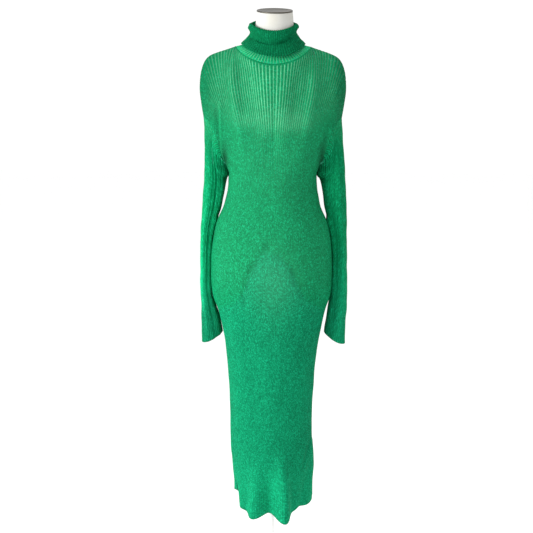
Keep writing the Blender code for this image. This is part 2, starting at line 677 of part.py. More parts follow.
def stand(material):
    base = (
        (BASE_RADIUS, 0.0),
        (BASE_RADIUS, BASE_THICKNESS - BASE_EDGE),
        (BASE_RADIUS - BASE_EDGE, BASE_THICKNESS),
        (HUB_RADIUS, BASE_THICKNESS),
        (HUB_RADIUS, HUB_TOP - BASE_EDGE),
        (HUB_RADIUS - BASE_EDGE, HUB_TOP),
    )
    turned("stand_base", base, ROUND_SIDES, material)
    pole = ((POLE_RADIUS, HUB_TOP + SEAM_GAP), (POLE_RADIUS, FORM_BOTTOM - SEAM_GAP))
    turned("stand_pole", pole, POLE_SIDES, material)


def finish_of(name, color, roughness, metallic):
    material = bpy.data.materials.new(name)
    material.use_nodes = True
    shader = material.node_tree.nodes["Principled BSDF"]
    shader.inputs["Base Color"].default_value = (*color, 1.0)
    shader.inputs["Roughness"].default_value = roughness
    shader.inputs["Metallic"].default_value = metallic
    return material


def main():
    for old in list(bpy.data.objects):
        bpy.data.objects.remove(old)
    knit = finish_of("green_rib_knit", (0.010, 0.330, 0.120), 0.55, 0.0)
    cover = finish_of("form_cover", (0.860, 0.850, 0.820), 0.80, 0.0)
    cap = finish_of("neck_cap_metal", (0.280, 0.250, 0.220), 0.35, 0.9)
    enamel = finish_of("stand_enamel", (0.860, 0.860, 0.850), 0.30, 0.0)
    panel("front_panel", True, knit)
    panel("back_panel", False, knit)
    sleeve("sleeve_right", -1.0, SLEEVE_RIGHT, SLEEVE_RIGHT_FOLDS, CUFF_TILT_RIGHT, knit)
    sleeve("sleeve_left", 1.0, SLEEVE_LEFT, SLEEVE_LEFT_FOLDS, CUFF_TILT_LEFT, knit)
    turtleneck("turtleneck", knit)
    form_body(cover)
    neck_cap(cap)
    stand(enamel)


main()
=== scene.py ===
"""Rib-knit turtleneck sweater dress on a limbless dress form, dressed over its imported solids.

Units are metres, +Z is up and the wearer faces -Y, so the wearer's left is +X.
"""

import math

import bmesh
import bpy
import numpy as np
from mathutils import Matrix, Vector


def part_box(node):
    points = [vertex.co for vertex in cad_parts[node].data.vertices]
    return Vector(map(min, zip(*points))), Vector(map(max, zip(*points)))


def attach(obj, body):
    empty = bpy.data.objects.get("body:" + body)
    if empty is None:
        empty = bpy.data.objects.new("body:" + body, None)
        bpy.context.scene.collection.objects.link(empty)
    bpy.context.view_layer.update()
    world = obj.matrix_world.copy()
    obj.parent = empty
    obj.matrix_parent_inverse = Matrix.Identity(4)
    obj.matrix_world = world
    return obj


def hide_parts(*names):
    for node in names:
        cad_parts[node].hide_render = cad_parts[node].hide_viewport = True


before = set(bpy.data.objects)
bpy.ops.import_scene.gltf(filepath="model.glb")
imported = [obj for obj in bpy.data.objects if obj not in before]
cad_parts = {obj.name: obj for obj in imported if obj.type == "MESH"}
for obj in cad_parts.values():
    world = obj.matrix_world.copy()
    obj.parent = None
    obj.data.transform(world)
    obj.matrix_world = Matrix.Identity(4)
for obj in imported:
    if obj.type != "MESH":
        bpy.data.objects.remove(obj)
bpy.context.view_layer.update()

bl_info = {
    "name": "Rib Knit Sweater Dress",
    "version": (1, 0, 0),
    "blender": (4, 5, 0),
    "location": "3D View > Sidebar > Sweater Dress",
    "description": "Builds a rib-knit turtleneck dress on a dress form with its studio",
    "category": "Add Mesh",
}

# ---- driving sizes, the same as the solids' --------------------------
HEM_HEIGHT = 0.265
UNDERARM_HEIGHT = 1.300
SEAM_GAP = 0.0003
BODY_Y = 0.010
TOP_SHIFT_X = -0.0035
NECK_SHARE = 5 / 12  # of a panel's width, at its top edge
SOFT_CORNER = 0.20  # share of a panel's half over which its top edge's corner is rounded
STEP = 1e-3  # of a surface's own coordinates, for its slopes
BASE_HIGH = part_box("stand_base")[1]
POLE_LOW, POLE_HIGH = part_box("stand_pole")
CAP_LOW, CAP_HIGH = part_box("form_neck_cap")

BODY_COLUMNS = ("z", "half_x", "front", "back", "shift_x", "right_back")
BODY_SECTIONS = (
    (0.240, 0.1215, 0.098, 0.102, 0.008, 0.034),
    (0.315, 0.1215, 0.099, 0.102, 0.008, 0.028),
    (0.390, 0.1265, 0.100, 0.102, 0.006, 0.018),
    (0.469, 0.1245, 0.101, 0.102, 0.001, 0.006),
    (0.572, 0.1248, 0.101, 0.103, -0.001, 0.000),
    (0.674, 0.1295, 0.102, 0.105, -0.001, 0.000),
    (0.757, 0.1370, 0.104, 0.109, -0.001, 0.000),
    (0.826, 0.1475, 0.107, 0.114, -0.001, 0.000),
    (0.890, 0.1630, 0.111, 0.121, -0.002, 0.000),
    (0.935, 0.1770, 0.115, 0.128, -0.003, 0.000),
    (0.975, 0.1808, 0.116, 0.130, -0.003, 0.000),
    (1.036, 0.1805, 0.116, 0.130, -0.003, 0.000),
    (1.097, 0.1755, 0.116, 0.123, -0.003, 0.000),
    (1.146, 0.1655, 0.113, 0.109, -0.003, 0.000),
    (1.206, 0.1415, 0.104, 0.093, -0.003, 0.000),
    (1.266, 0.1300, 0.098, 0.087, -0.002, 0.000),
    (1.310, 0.1285, 0.099, 0.087, -0.002, 0.000),
)
RIDGE_COLUMNS = ("along", "x", "z")
RIDGE = (
    (0.00, 0.1085, 1.6680),
    (0.17, 0.1400, 1.6572),
    (0.34, 0.1700, 1.6470),
    (0.46, 0.1905, 1.6345),
    (0.56, 0.2030, 1.6150),
    (0.67, 0.2110, 1.5830),
    (0.78, 0.2135, 1.5450),
    (0.89, 0.2110, 1.5050),
    (1.00, 0.2045, 1.4620),
)
RIDGE_Y = 0.012
RIB_COLUMNS = ("across", "lift_x", "lift_y", "lift_z", "land_x", "land_y", "land_z")
RIB_PATHS = (
    (0.00, 0.000, -0.020, 0.110, 0.000, 0.035, 0.075),
    (0.20, 0.004, -0.035, 0.110, 0.006, 0.051, 0.072),
    (0.32, 0.008, -0.043, 0.110, -0.002, 0.067, 0.067),
    (0.42, 0.012, -0.046, 0.110, -0.018, 0.090, 0.059),
    (0.50, 0.016, -0.046, 0.110, -0.008, 0.074, 0.037),
    (0.62, 0.021, -0.048, 0.110, 0.002, 0.067, 0.024),
    (0.80, 0.018, -0.058, 0.100, 0.010, 0.062, 0.006),
    (0.92, 0.020, -0.062, 0.075, 0.030, 0.066, 0.002),
    (1.00, 0.030, -0.062, 0.045, 0.036, 0.060, 0.006),
)
BACK_DEPTH_SHARE = 0.75
NECKLINE_HALF_X, NECKLINE_FRONT, NECKLINE_BACK = 0.1085, 0.0926, 0.0677
NECKLINE_Z_FRONT, NECKLINE_Z_SIDE, NECKLINE_Z_BACK = 1.6110, 1.6680, 1.6820
# Hem flutes: angle round the body at the hem and at the top, width, depth, and the top's height.
FRONT_FLUTES = (
    (-25.0, -22.0, 10.0, 0.029, 0.470),
    (-8.0, -6.0, 8.0, -0.006, 0.440),
    (12.5, 12.0, 8.5, 0.045, 0.500),
    (44.0, 74.0, 10.0, -0.010, 0.490),
)
BACK_FLUTES = (
    (-48.0, -40.0, 12.0, 0.016, 0.500),
    (-14.0, -10.0, 11.0, 0.026, 0.560),
    (8.0, 8.0, 9.0, -0.006, 0.450),
    (30.0, 26.0, 12.0, 0.024, 0.520),
    (66.0, 62.0, 12.0, 0.012, 0.460),
)
FLUTE_DIP = 0.35
SLIT_TOP, SLIT_SHARE = 0.450, 0.55
SLIT_FRONT_IN, SLIT_FRONT_FORWARD = 0.021, 0.016
SLIT_BACK_IN, SLIT_BACK_BEHIND, SLIT_BACK_RISE = -0.002, 0.004, 0.034
SLIT_CURL_SHARE, SLIT_CURL = 0.14, 0.014  # the back's edge curls in behind the front's
SLEEVE_COLUMNS = ("z", "outer", "inner", "centre_y", "half_y")
SLEEVE_RIGHT = (
    (1.260, 0.2075, 0.1450, 0.015, 0.038),
    (1.206, 0.2115, 0.1550, 0.017, 0.035),
    (1.146, 0.2163, 0.1745, 0.023, 0.035),
    (1.097, 0.2185, 0.1845, 0.029, 0.038),
    (1.036, 0.2200, 0.1890, 0.032, 0.040),
    (0.960, 0.2198, 0.1897, 0.032, 0.040),
    (0.900, 0.2175, 0.1768, 0.028, 0.036),
    (0.850, 0.2160, 0.1605, 0.026, 0.033),
    (0.794, 0.2150, 0.1520, 0.025, 0.032),
)
SLEEVE_LEFT = (
    (1.260, 0.2165, 0.1480, 0.015, 0.039),
    (1.206, 0.2200, 0.1555, 0.017, 0.036),
    (1.146, 0.2225, 0.1690, 0.021, 0.034),
    (1.097, 0.2240, 0.1780, 0.027, 0.036),
    (1.036, 0.2258, 0.1825, 0.030, 0.038),
    (0.960, 0.2283, 0.1825, 0.030, 0.038),
    (0.900, 0.2285, 0.1740, 0.028, 0.036),
    (0.850, 0.2255, 0.1680, 0.026, 0.034),
    (0.793, 0.2235, 0.1600, 0.025, 0.033),
)
FOLD_STARTS, FOLD_ENDS = 0.12, 0.10  # the heights over which a sleeve's fold comes and goes
SLEEVE_TOP_Z = 1.250
CUFF_TILT_RIGHT, CUFF_TILT_LEFT = 0.016, 0.017
UNDERARM_OPEN = 0.0045
SLEEVE_CLEAR = 0.0045  # between a sleeve and the body that it clings to
COLLAR_COLUMNS = ("station", "side", "front", "back", "z_side", "z_front", "z_back")
COLLAR_PATH = (
    (0, 0.1080, 0.0922, 0.0673, 1.6687, 1.6119, 1.6831),
    (1, 0.0985, 0.0845, 0.0660, 1.6696, 1.6213, 1.6913),
    (2, 0.0860, 0.0755, 0.0648, 1.6712, 1.6340, 1.7000),
    (3, 0.0730, 0.0675, 0.0634, 1.6800, 1.6515, 1.7100),
    (4, 0.0652, 0.0642, 0.0620, 1.6970, 1.6720, 1.7210),
    (5, 0.0627, 0.0630, 0.0612, 1.7160, 1.6930, 1.7400),
    (6, 0.0666, 0.0665, 0.0645, 1.7340, 1.7065, 1.7565),
    (7, 0.0718, 0.0722, 0.0697, 1.7295, 1.7020, 1.7490),
    (8, 0.0740, 0.0748, 0.0715, 1.7220, 1.6915, 1.7330),
    (9, 0.0682, 0.0728, 0.0688, 1.7100, 1.6715, 1.7220),
    (10, 0.0732, 0.0785, 0.0715, 1.6980, 1.6620, 1.7110),
    (11, 0.0832, 0.0900, 0.0765, 1.6870, 1.6470, 1.7005),
    (12, 0.0945, 0.1035, 0.0830, 1.6765, 1.6315, 1.6895),
)
COLLAR_Y = 0.008
STATIONS_PER_TURN = 8  # as many stations of the turtleneck's path are as long as a turn round it
FORM_COLUMNS = ("z", "half_x", "front", "back", "centre_y", "power")
FORM_SECTIONS = (
    (1.360, 0.1250, 0.1000, 0.0860, 0.010, 2.0),
    (1.420, 0.1310, 0.1085, 0.0880, 0.010, 2.0),
    (1.480, 0.1410, 0.1110, 0.0870, 0.010, 2.0),
    (1.540, 0.1560, 0.1010, 0.0820, 0.010, 2.0),
    (1.580, 0.1640, 0.0805, 0.0660, 0.010, 1.95),
    (1.610, 0.1660, 0.0640, 0.0530, 0.010, 1.75),
    (1.630, 0.1560, 0.0490, 0.0420, 0.010, 1.65),
    (1.645, 0.1320, 0.0370, 0.0340, 0.010, 1.60),
    (1.655, 0.1050, 0.0270, 0.0340, 0.010, 1.60),
    (1.668, 0.0640, 0.0560, 0.0540, 0.008, 2.0),
    (1.690, 0.0572, 0.0560, 0.0560, 0.006, 2.0),
    (1.730, 0.0555, 0.0550, 0.0550, 0.003, 2.0),
    (1.767, 0.0528, 0.0528, 0.0528, 0.000, 2.0),
)
FORM_BOTTOM, FORM_INSET = 0.925, 0.0020
FORM_LOW_HEIGHTS = (0.935, 1.036, 1.130, 1.206, 1.300)
NECK_TILT_FROM, NECK_TOP_TILT = 1.730, 0.247

# ---- edges and finishes, finer than the solids' ----------------------
# The torso's lower edge: how far in, and the share of the way down.
FORM_LOWER_EDGE = ((0.012, 1.0), (0.0045, 0.62), (0.0012, 0.25))
# Its neck's rim, and the edges of the cap and the base: how far in, and how high.
FORM_RIM = ((0.0, -0.0012), (0.0006, -0.0003), (0.0018, 0.0), (0.0264, 0.0), (0.0528, 0.0))
FORM_RING_STEP = 0.008
CAP_GAP = 0.0004
CAP_EDGE = (
    (0.0008, 0.0), (0.0002, 0.0003), (0.0, 0.0009), (0.0, 0.0024),
    (0.0003, 0.0031), (0.0010, 0.0035), (0.0018, 0.0034), (0.0025, 0.0030),
)
CAP_DISH_RADIUS, CAP_DISH_Z = 0.0060, 0.0029
BASE_EDGE = (
    (0.0015, 0.0), (0.0, 0.0012), (0.0, 0.0072), (0.0009, 0.0098), (0.0040, 0.0118), (0.0080, 0.0120),
)
# The hub's foot by radius and height, and its top edge by radius and depth.
HUB_FOOT = ((0.0340, 0.0120), (0.0312, 0.0126), (0.0300, 0.0150))
HUB_EDGE = ((0.0300, 0.0060), (0.0290, 0.0022), (0.0262, 0.0), (0.0, 0.0))
POLE_EDGE_IN, POLE_EDGE_HIGH = 0.0005, 0.0008
SMOOTH_ANGLE = 35  # degrees: edges sharper than this stay sharp
# The knit's look: how far a stitch slants, the painted shade in a valley between ribs, and the painted
# shade inside the slit.
STITCH_SLANT, VALLEY_SHADE, SLIT_SHADE = 1.3, -0.44, (0.0, 0.03, 0.012, 1.0)

# ---- listed folds ----------------------------------------------------
SHOULDER_FULLNESS = 0.0024
# Soft troughs (negative depth) and ridges of a panel, each a line from one point to another
# as it shows from in front or behind: x0, z0, x1, z1, width and depth at its middle.
FRONT_CREASES = (
    # Upright ridges and hollows beside the armholes.
    (-0.154, 1.500, -0.148, 1.345, 0.0042, 0.0042),
    (-0.166, 1.480, -0.159, 1.370, 0.0060, -0.0036),
    (0.162, 1.430, 0.156, 1.335, 0.0042, 0.0034),
    (0.173, 1.440, 0.166, 1.370, 0.0050, -0.0034),
    (0.148, 1.400, 0.140, 1.325, 0.0080, -0.0020),
    # The arch over the lap, in three runs, and the hollow below it.
    (-0.088, 0.945, -0.064, 1.022, 0.010, -0.0024),
    (-0.064, 1.022, -0.015, 1.090, 0.009, -0.0026),
    (-0.015, 1.090, 0.056, 1.028, 0.009, -0.0021),
    (0.056, 1.028, 0.088, 0.955, 0.010, -0.0022),
    (-0.083, 0.930, -0.081, 0.730, 0.005, -0.0016),
    # Drag lines from the underarms, then across the waist.
    (-0.150, 1.395, -0.100, 1.345, 0.007, -0.0016),
    (-0.146, 1.350, -0.112, 1.318, 0.006, -0.0012),
    (0.142, 1.390, 0.104, 1.350, 0.008, -0.0020),
    (0.146, 1.430, 0.118, 1.372, 0.008, 0.0014),
    (-0.122, 1.262, -0.072, 1.270, 0.007, -0.0010),
    (-0.126, 1.225, -0.060, 1.240, 0.008, -0.0009),
    (0.118, 1.248, 0.060, 1.262, 0.008, -0.0011),
    (0.128, 1.205, 0.082, 1.216, 0.007, -0.0008),
    # The long fold that runs in from the left side above the hem.
    (0.128, 0.500, 0.112, 0.452, 0.0035, -0.0048),
    (0.112, 0.452, 0.099, 0.405, 0.0045, -0.0040),
    (0.131, 0.470, 0.124, 0.420, 0.0080, 0.0026),
    # Soft lengthwise pulls in the skirt.
    (-0.070, 0.820, -0.052, 0.560, 0.014, -0.0014),
    (-0.020, 0.760, -0.012, 0.470, 0.016, 0.0012),
    (0.040, 0.790, 0.030, 0.520, 0.015, -0.0012),
    (0.092, 0.720, 0.078, 0.500, 0.013, 0.0014),
    (-0.105, 0.640, -0.092, 0.430, 0.012, 0.0013),
)
# The arch over the lap: above it the knit is drawn tight, below it slacker and bluer.
LAP_COLUMNS = ("x", "z")
LAP_ARCH = (
    (-0.160, 0.905),
    (-0.120, 0.930),
    (-0.090, 0.960),
    (-0.062, 1.035),
    (-0.020, 1.090),
    (0.018, 1.078),
    (0.056, 1.028),
    (0.092, 0.955),
    (0.160, 0.900),
)
BACK_CREASES = (
    (-0.142, 1.400, -0.094, 1.350, 0.008, -0.0018),
    (0.146, 1.385, 0.090, 1.352, 0.008, -0.0016),
    (-0.110, 1.276, -0.030, 1.262, 0.008, -0.0016),
    (0.100, 1.262, 0.022, 1.250, 0.009, -0.0014),
    (-0.118, 1.235, -0.052, 1.222, 0.008, -0.0011),
    (0.116, 1.222, 0.040, 1.214, 0.008, -0.0012),
    (-0.030, 0.905, 0.034, 0.900, 0.014, -0.0018),
    (-0.090, 0.860, -0.066, 0.560, 0.016, 0.0015),
    (0.006, 0.840, 0.002, 0.520, 0.018, -0.0018),
    (0.082, 0.850, 0.064, 0.600, 0.015, 0.0014),
    (0.112, 0.600, 0.096, 0.420, 0.012, -0.0016),
)
# Lengthwise folds of a hanging sleeve: angle round it at the top and at the cuff (0 is outward,
# 90 the front), width, depth, top and bottom height. The solids have the first three of each.
SLEEVE_RIGHT_FOLDS = (
    (112.0, 100.0, 20.0, -0.0045, 1.360, 0.780),
    (232.0, 240.0, 20.0, -0.0045, 1.360, 0.780),
    (300.0, 305.0, 20.0, -0.0030, 1.280, 0.900),
    (58.0, 62.0, 9.0, 0.0026, 1.520, 0.800),
    (88.0, 80.0, 8.0, -0.0030, 1.460, 0.960),
    (104.0, 112.0, 11.0, -0.0050, 1.330, 1.030),
    (146.0, 136.0, 9.0, 0.0040, 1.500, 1.150),
    (124.0, 112.0, 8.0, 0.0022, 1.420, 1.080),
    (268.0, 262.0, 10.0, 0.0022, 1.420, 0.850),
)
SLEEVE_LEFT_FOLDS = (
    (116.0, 114.0, 20.0, -0.0040, 1.360, 0.780),
    (222.0, 238.0, 20.0, -0.0045, 1.360, 0.780),
    (290.0, 300.0, 20.0, -0.0030, 1.250, 0.900),
    (70.0, 64.0, 9.0, 0.0022, 1.500, 0.830),
    (96.0, 90.0, 8.0, -0.0024, 1.440, 0.900),
    (36.0, 44.0, 9.0, -0.0016, 1.300, 0.860),
    (262.0, 270.0, 10.0, 0.0020, 1.420, 0.850),
)
# How light the sleeves are down their length: they hang out of the main light's plane.
TONE_COLUMNS = ("z", "right", "left")
SLEEVE_TONES = (
    (1.520, 0.94, 0.88),
    (1.380, 0.96, 0.90),
    (1.280, 1.10, 0.88),
    (1.160, 1.35, 0.98),
    (1.060, 1.62, 1.12),
    (0.980, 1.86, 1.22),
    (0.920, 1.52, 1.18),
    (0.860, 0.88, 1.10),
    (0.800, 0.84, 1.10),
)
# Folds of the turtleneck: turn0, station0, turn1, station1, width and depth, where the turn is
# 0 in front and 0.25 at +X, and the stations are its path's.
COLLAR_FOLDS = (
    (-0.085, 9.35, 0.055, 9.35, 0.30, -0.0030),
    (0.055, 9.35, 0.120, 9.00, 0.35, -0.0016),
    (-0.085, 9.35, -0.150, 9.70, 0.35, -0.0016),
    (-0.060, 9.95, 0.040, 9.90, 0.40, 0.0018),
    (-0.190, 7.60, -0.120, 8.30, 0.45, -0.0018),
    (0.140, 7.40, 0.210, 8.20, 0.45, -0.0016),
    (0.300, 9.10, 0.480, 9.40, 0.35, -0.0022),
    (0.560, 9.50, 0.700, 9.10, 0.35, -0.0020),
)

# ---- ribs and density of the meshes ----------------------------------
PANEL_RIBS = 88
SLEEVE_RIBS = 36
COLLAR_RIBS = 72
# Share of a panel's ribs, from its middle, and the share of its top edge that they take.
NECK_RIB_SHARE = 0.355
FAN_COLUMNS = ("reach", "side")
RIB_FAN = ((0.0, 0.0), (NECK_RIB_SHARE, NECK_SHARE), (0.700, 0.855), (1.0, 1.0))
PANEL_POINTS_PER_RIB = 3
PANEL_ROWS_LOW, PANEL_ROWS_HIGH = 112, 60
SLEEVE_POINTS_PER_RIB = 4
SLEEVE_ROWS_JOIN, SLEEVE_ROWS_HANG = 24, 84
COLLAR_POINTS_PER_RIB = 4
COLLAR_ROWS = 88
FORM_COLUMNS_ROUND = 128
RIB_PITCH = 0.0046  # an even rib's width: the knit map's unit along a rib
CLOTH = 0.001  # thickness of the knit
SLEEVE_LEAVES = 0.040  # how far the sleeve follows the panel's plane before it turns down
ARCH_TOP_Z = 1.284  # where the sleeves leave the body
TUCK = 0.004  # how far a piece runs on under the one that it is linked to
SLEEVE_DROP, COLLAR_DROP = 0.0010, 0.0012  # and how far it goes in there
SEAM_SINK = 0.004  # how far from a linked seam the ribs sink into it
WELT_AT, WELT_HALF, WELT_HEIGHT = 0.0030, 0.0028, 0.0008  # the raised line below the neckline

# ---- how the knit changes over the dress -----------------------------
# Soft steps: where each starts, and over what distance it comes. X is counted from the middle.
RIBS_CHEST_Z, RIBS_HEM_Z = (1.33, 0.14), (0.42, 0.12)
RIBS_SHOULDER_Z, RIBS_SHOULDER_X = (1.44, 0.08), (0.07, 0.05)
CROWN_Z, CROWN_X = (1.49, 0.06), (0.16, 0.04)
PULLED_Z, PULLED_X, PULLED_MIDDLE_Z = (1.43, 0.08), (0.215, 0.05), (1.16, 0.20)
OVER_FORM_Z, OVER_FORM_X = (0.86, 0.16), (0.205, 0.06)
SLACK_Z, LAP_STEP = (1.12, 0.26), 0.035
# The hem's light, the side light, the yoke and shoulder shade and the hem's streak are painted light and
# shade, not changes of the knit.
HEM_LIGHT_Z, SIDE_LIGHT_Z, YOKE_SHADE_Z = (0.48, 0.16), (1.40, 0.10), (1.44, 0.08)
SHOULDER_SHADE_X, SHOULDER_SHADE_Z, HEM_LIGHT_STREAK_Z = (0.160, 0.035), (1.36, 0.08), (0.44, 0.10)
ARCH_STEP, HIP_TOP_Z, HIP_LOW_Z, HIP_NEAR = 0.010, (1.175, 0.02), (0.925, 0.02), (0.016, 0.008)
SLEEVE_RIBS_Z, CUFF_RIBS_Z, SLEEVE_PULLED_Z = (1.20, 0.20), (0.90, 0.08), (1.34, 0.16)
# Soft round places on the panels: x, z, half width, half height and strength.
BUST_SPOTS = (
    (0.046, 1.452, 0.052, 0.028, 1.25),
    (-0.024, 1.462, 0.034, 0.042, 0.60),
    (-0.078, 1.452, 0.034, 0.020, 0.60),
)
CHEST_SPOT = ((0.0, 1.555, 0.120, 0.090, 0.30),)
LAP_SPOT = ((0.004, 0.975, 0.056, 0.105, 1.5),)
# Painted shade: the underarm's hollow on a panel, and the armpit on a sleeve.
UNDERARM_SHADE_SPOT = ((0.142, 1.340, 0.012, 0.042, 0.62),)
ARMPIT_SHADE_SPOT = ((0.44, 1.325, 0.09, 0.050, 0.68),)  # on a sleeve, by the turn round it
# How fast an unevenness runs over a flat piece, and round a tube, where it meets itself.
FLAT_RATES, ROUND_RATES = (5.1, -3.7, 9.7), (1, -2, 3)

# ---- the camera and the room -----------------------------------------
CAMERA_X, CAMERA_Y, CAMERA_Z = -0.0185, -2.700, 1.420
CAMERA_DOWN, CAMERA_ROLL = 8.5, 0.43  # degrees
FOCAL_PIXELS, FRAME_PIXELS, SENSOR = 900.0, 533.0, 36.0
FLOOR_SIZE = 30.0
KEY_SIZE, KEY_AT, KEY_AIM = 1.4, (-2.9, -1.7, 1.7), (0.0, 0.0, 0.95)
FILL_SIZE, FILL_AT, FILL_AIM = 2.0, (0.6, -3.6, 1.8), (0.0, 0.0, 0.9)


# ---- curves and surfaces ---------------------------------------------


def curve(table, columns, name, at):
    """A smooth curve without overshoot through one column of a table, over its first one."""
    rows = np.array(table, float)
    x, y = rows[:, 0], rows[:, columns.index(name)]
    if x[0] > x[-1]:
        x, y = x[::-1], y[::-1]
    step, rise_by = np.diff(x), np.diff(y)
    slope = rise_by / step
    tangent = np.empty(len(x))
    tangent[0], tangent[-1] = slope[0], slope[-1]
    before, after = slope[:-1], slope[1:]
    same = before * after > 0
    tangent[1:-1] = np.where(same, 2 * before * after / np.where(same, before + after, 1), 0)
    at = np.clip(np.asarray(at, float), x[0], x[-1])
    i = np.clip(np.searchsorted(x, at) - 1, 0, len(step) - 1)
    t = (at - x[i]) / step[i]
    return (
        (1 + 2 * t) * (1 - t) ** 2 * y[i]
        + t * (1 - t) ** 2 * step[i] * tangent[i]
        + t * t * (3 - 2 * t) * y[i + 1]
        + t * t * (t - 1) * step[i] * tangent[i + 1]
    )


def curves(table, columns, at):
    """The curves through all of a table's columns but its first."""
    return (curve(table, columns, name, at) for name in columns[1:])


def smooth_step(t):
    t = np.clip(t, 0, 1)
    return t * t * (3 - 2 * t)


def rise(value, start, over):
    """A soft step from 0 at start to 1 a little above it."""
    return smooth_step((value - start) / over)


def fall(value, start, over):
    """A soft step from 0 at start to 1 a little below it."""
    return smooth_step((start - value) / over)


def bell(t):
    return np.exp(-(t**2))


def plateau(t):
    """A bell with a flat top and steeper sides."""
    return np.exp(-(t**4))


def spots(x, z, rows):
    """Soft round places, each by its centre, half sizes and strength."""
    return sum(
        strength * np.exp(-(((x - x0) / wide) ** 2) - ((z - z0) / high) ** 2)
        for x0, z0, wide, high, strength in rows
    )


def bezier(t, first, second, third, fourth):
    return (
        (1 - t) ** 3 * first
        + 3 * (1 - t) ** 2 * t * second
        + 3 * (1 - t) * t * t * third
        + t**3 * fourth
    )


def stacked(*parts):
    return np.stack(np.broadcast_arrays(*parts), axis=-1)


def unit(vectors):
    return vectors / np.linalg.norm(vectors, axis=-1, keepdims=True)


def normals(point, across, along, low, high):
    """Unit normals of a surface, from points a small step away on each side."""
    across, along = np.broadcast_arrays(across, along)
    a0, a1 = (np.clip(across + step, low[0], high[0]) for step in (-STEP, STEP))
    b0, b1 = (np.clip(along + step, low[1], high[1]) for step in (-STEP, STEP))
    u = point(a1, along) - point(a0, along)
    v = point(across, b1) - point(across, b0)
    return unit(np.cross(u, v))


def neckline(across, front):
    forward, sideways = np.cos(np.pi / 2 * across), np.sin(np.pi / 2 * across)
    reach = NECKLINE_FRONT if front else -NECKLINE_BACK
    z_middle = NECKLINE_Z_FRONT if front else NECKLINE_Z_BACK
    z = NECKLINE_Z_SIDE + (z_middle - NECKLINE_Z_SIDE) * forward**1.5
    y = COLLAR_Y - reach * forward + (RIDGE_Y - COLLAR_Y) * sideways**4
    return stacked(NECKLINE_HALF_X * sideways, y, z)


def top_edge(across, front):
    """The panel's top edge: neckline, then shoulder, then down the dropped shoulder's end."""
    on_neck = neckline(np.clip(across / NECK_SHARE, 0, 1), front)
    along = np.clip((across - NECK_SHARE) / (1 - NECK_SHARE), 0, 1)
    x, z = curves(RIDGE, RIDGE_COLUMNS, along)
    on_ridge = stacked(x, np.full_like(x, RIDGE_Y), z)
    return np.where((across < NECK_SHARE)[..., None], on_neck, on_ridge)


def soft_edge(across, front):
    """The top edge with its corner between neckline and shoulder rounded off."""
    at = np.linspace(0, 1, 401)
    room = np.minimum(np.minimum(at, 1 - at), SOFT_CORNER)
    steps = np.linspace(-1, 1, 25)
    edge = sum(top_edge(at + step * room, front) for step in steps) / len(steps)
    return stacked(*(np.interp(across, at, edge[:, axis]) for axis in range(3)))


def flute_depth(angle, z, flutes):
    depth = np.zeros(np.broadcast(angle, z).shape)
    for hem_angle, top_angle, width, out, top_z in flutes:
        down = np.clip((top_z - z) / (top_z - HEM_HEIGHT), 0, 1.1)
        middle = top_angle + (hem_angle - top_angle) * down
        depth = depth + out * smooth_step(down) * bell((angle - middle) / width)
    return depth


def body_row(side, z, front):
    """A point of the dress below the underarm: side runs from -1 to 1 across the panel."""
    half_x, ahead, behind, shift_x, right_back = curves(BODY_SECTIONS, BODY_COLUMNS, z)
    angle = np.pi / 2 * side
    forward = -1.0 if front else 1.0
    out = flute_depth(np.degrees(angle), z, FRONT_FLUTES if front else BACK_FLUTES)
    depth = (ahead if front else behind) + out
    x = shift_x + (half_x + out) * np.sin(angle)
    y = BODY_Y + forward * depth * np.cos(angle)
    y = y + right_back * np.clip(np.sin(angle), 0, 1) ** 2
    near_slit = rise(-side, 1 - SLIT_SHARE, SLIT_SHARE)
    opened = near_slit * np.clip((SLIT_TOP - z) / (SLIT_TOP - HEM_HEIGHT), 0, 1.2) ** 1.3
    if front:
        x, y = x + SLIT_FRONT_IN * opened, y - SLIT_FRONT_FORWARD * opened
    else:
        x, y = x + SLIT_BACK_IN * opened, y + SLIT_BACK_BEHIND * opened
        curled = opened * rise(-side, 1 - SLIT_CURL_SHARE, SLIT_CURL_SHARE)
        x, y = x + SLIT_CURL * curled, y - 0.25 * SLIT_CURL * curled
    return stacked(x, y, z)


def hem_height(side, front):
    flutes = FRONT_FLUTES if front else BACK_FLUTES
    z = HEM_HEIGHT - FLUTE_DIP * flute_depth(90 * side, HEM_HEIGHT, flutes)
    if not front:
        z = z + SLIT_BACK_RISE * rise(-side, 1 - SLIT_SHARE, SLIT_SHARE)
    return z


def panel_point(side, up, front):
    """The inside of a panel's wall. side is -1 to 1; up is 0 at the hem, 1 at the underarm
    row and 2 at the top edge."""
    side, up = np.broadcast_arrays(np.asarray(side, float), np.asarray(up, float))
    hem = hem_height(side, front)
    z = hem + (UNDERARM_HEIGHT - hem) * np.clip(up, 0, 1)
    low = body_row(side, z, front)
    across, sign = np.abs(side), np.sign(side)
    shift = curve(BODY_SECTIONS, BODY_COLUMNS, "shift_x", UNDERARM_HEIGHT)
    start = body_row(across, np.full_like(across, UNDERARM_HEIGHT), front)
    start = start - stacked(shift, 0.0, 0.0)
    end = top_edge(across, front)
    soft = soft_edge(across, front)
    end = soft + (end - soft) * np.clip(up - 1, 0, 1)[..., None] ** 6
    turn = 1.0 if front else -BACK_DEPTH_SHARE
    lift_x, lift_y, lift_z, land_x, land_y, land_z = curves(RIB_PATHS, RIB_COLUMNS, across)
    lift = stacked(lift_x, turn * lift_y, lift_z)
    land = stacked(land_x, turn * land_y, land_z)
    t = np.clip(up - 1, 0, 1)[..., None]
    high = bezier(t, start, start + lift, end - land, end)
    lean = shift + (TOP_SHIFT_X - shift) * t[..., 0]
    high = high * stacked(sign, 1.0, 1.0) + stacked(lean, 0.0, 0.0)
    return np.where((up <= 1)[..., None], low, high)


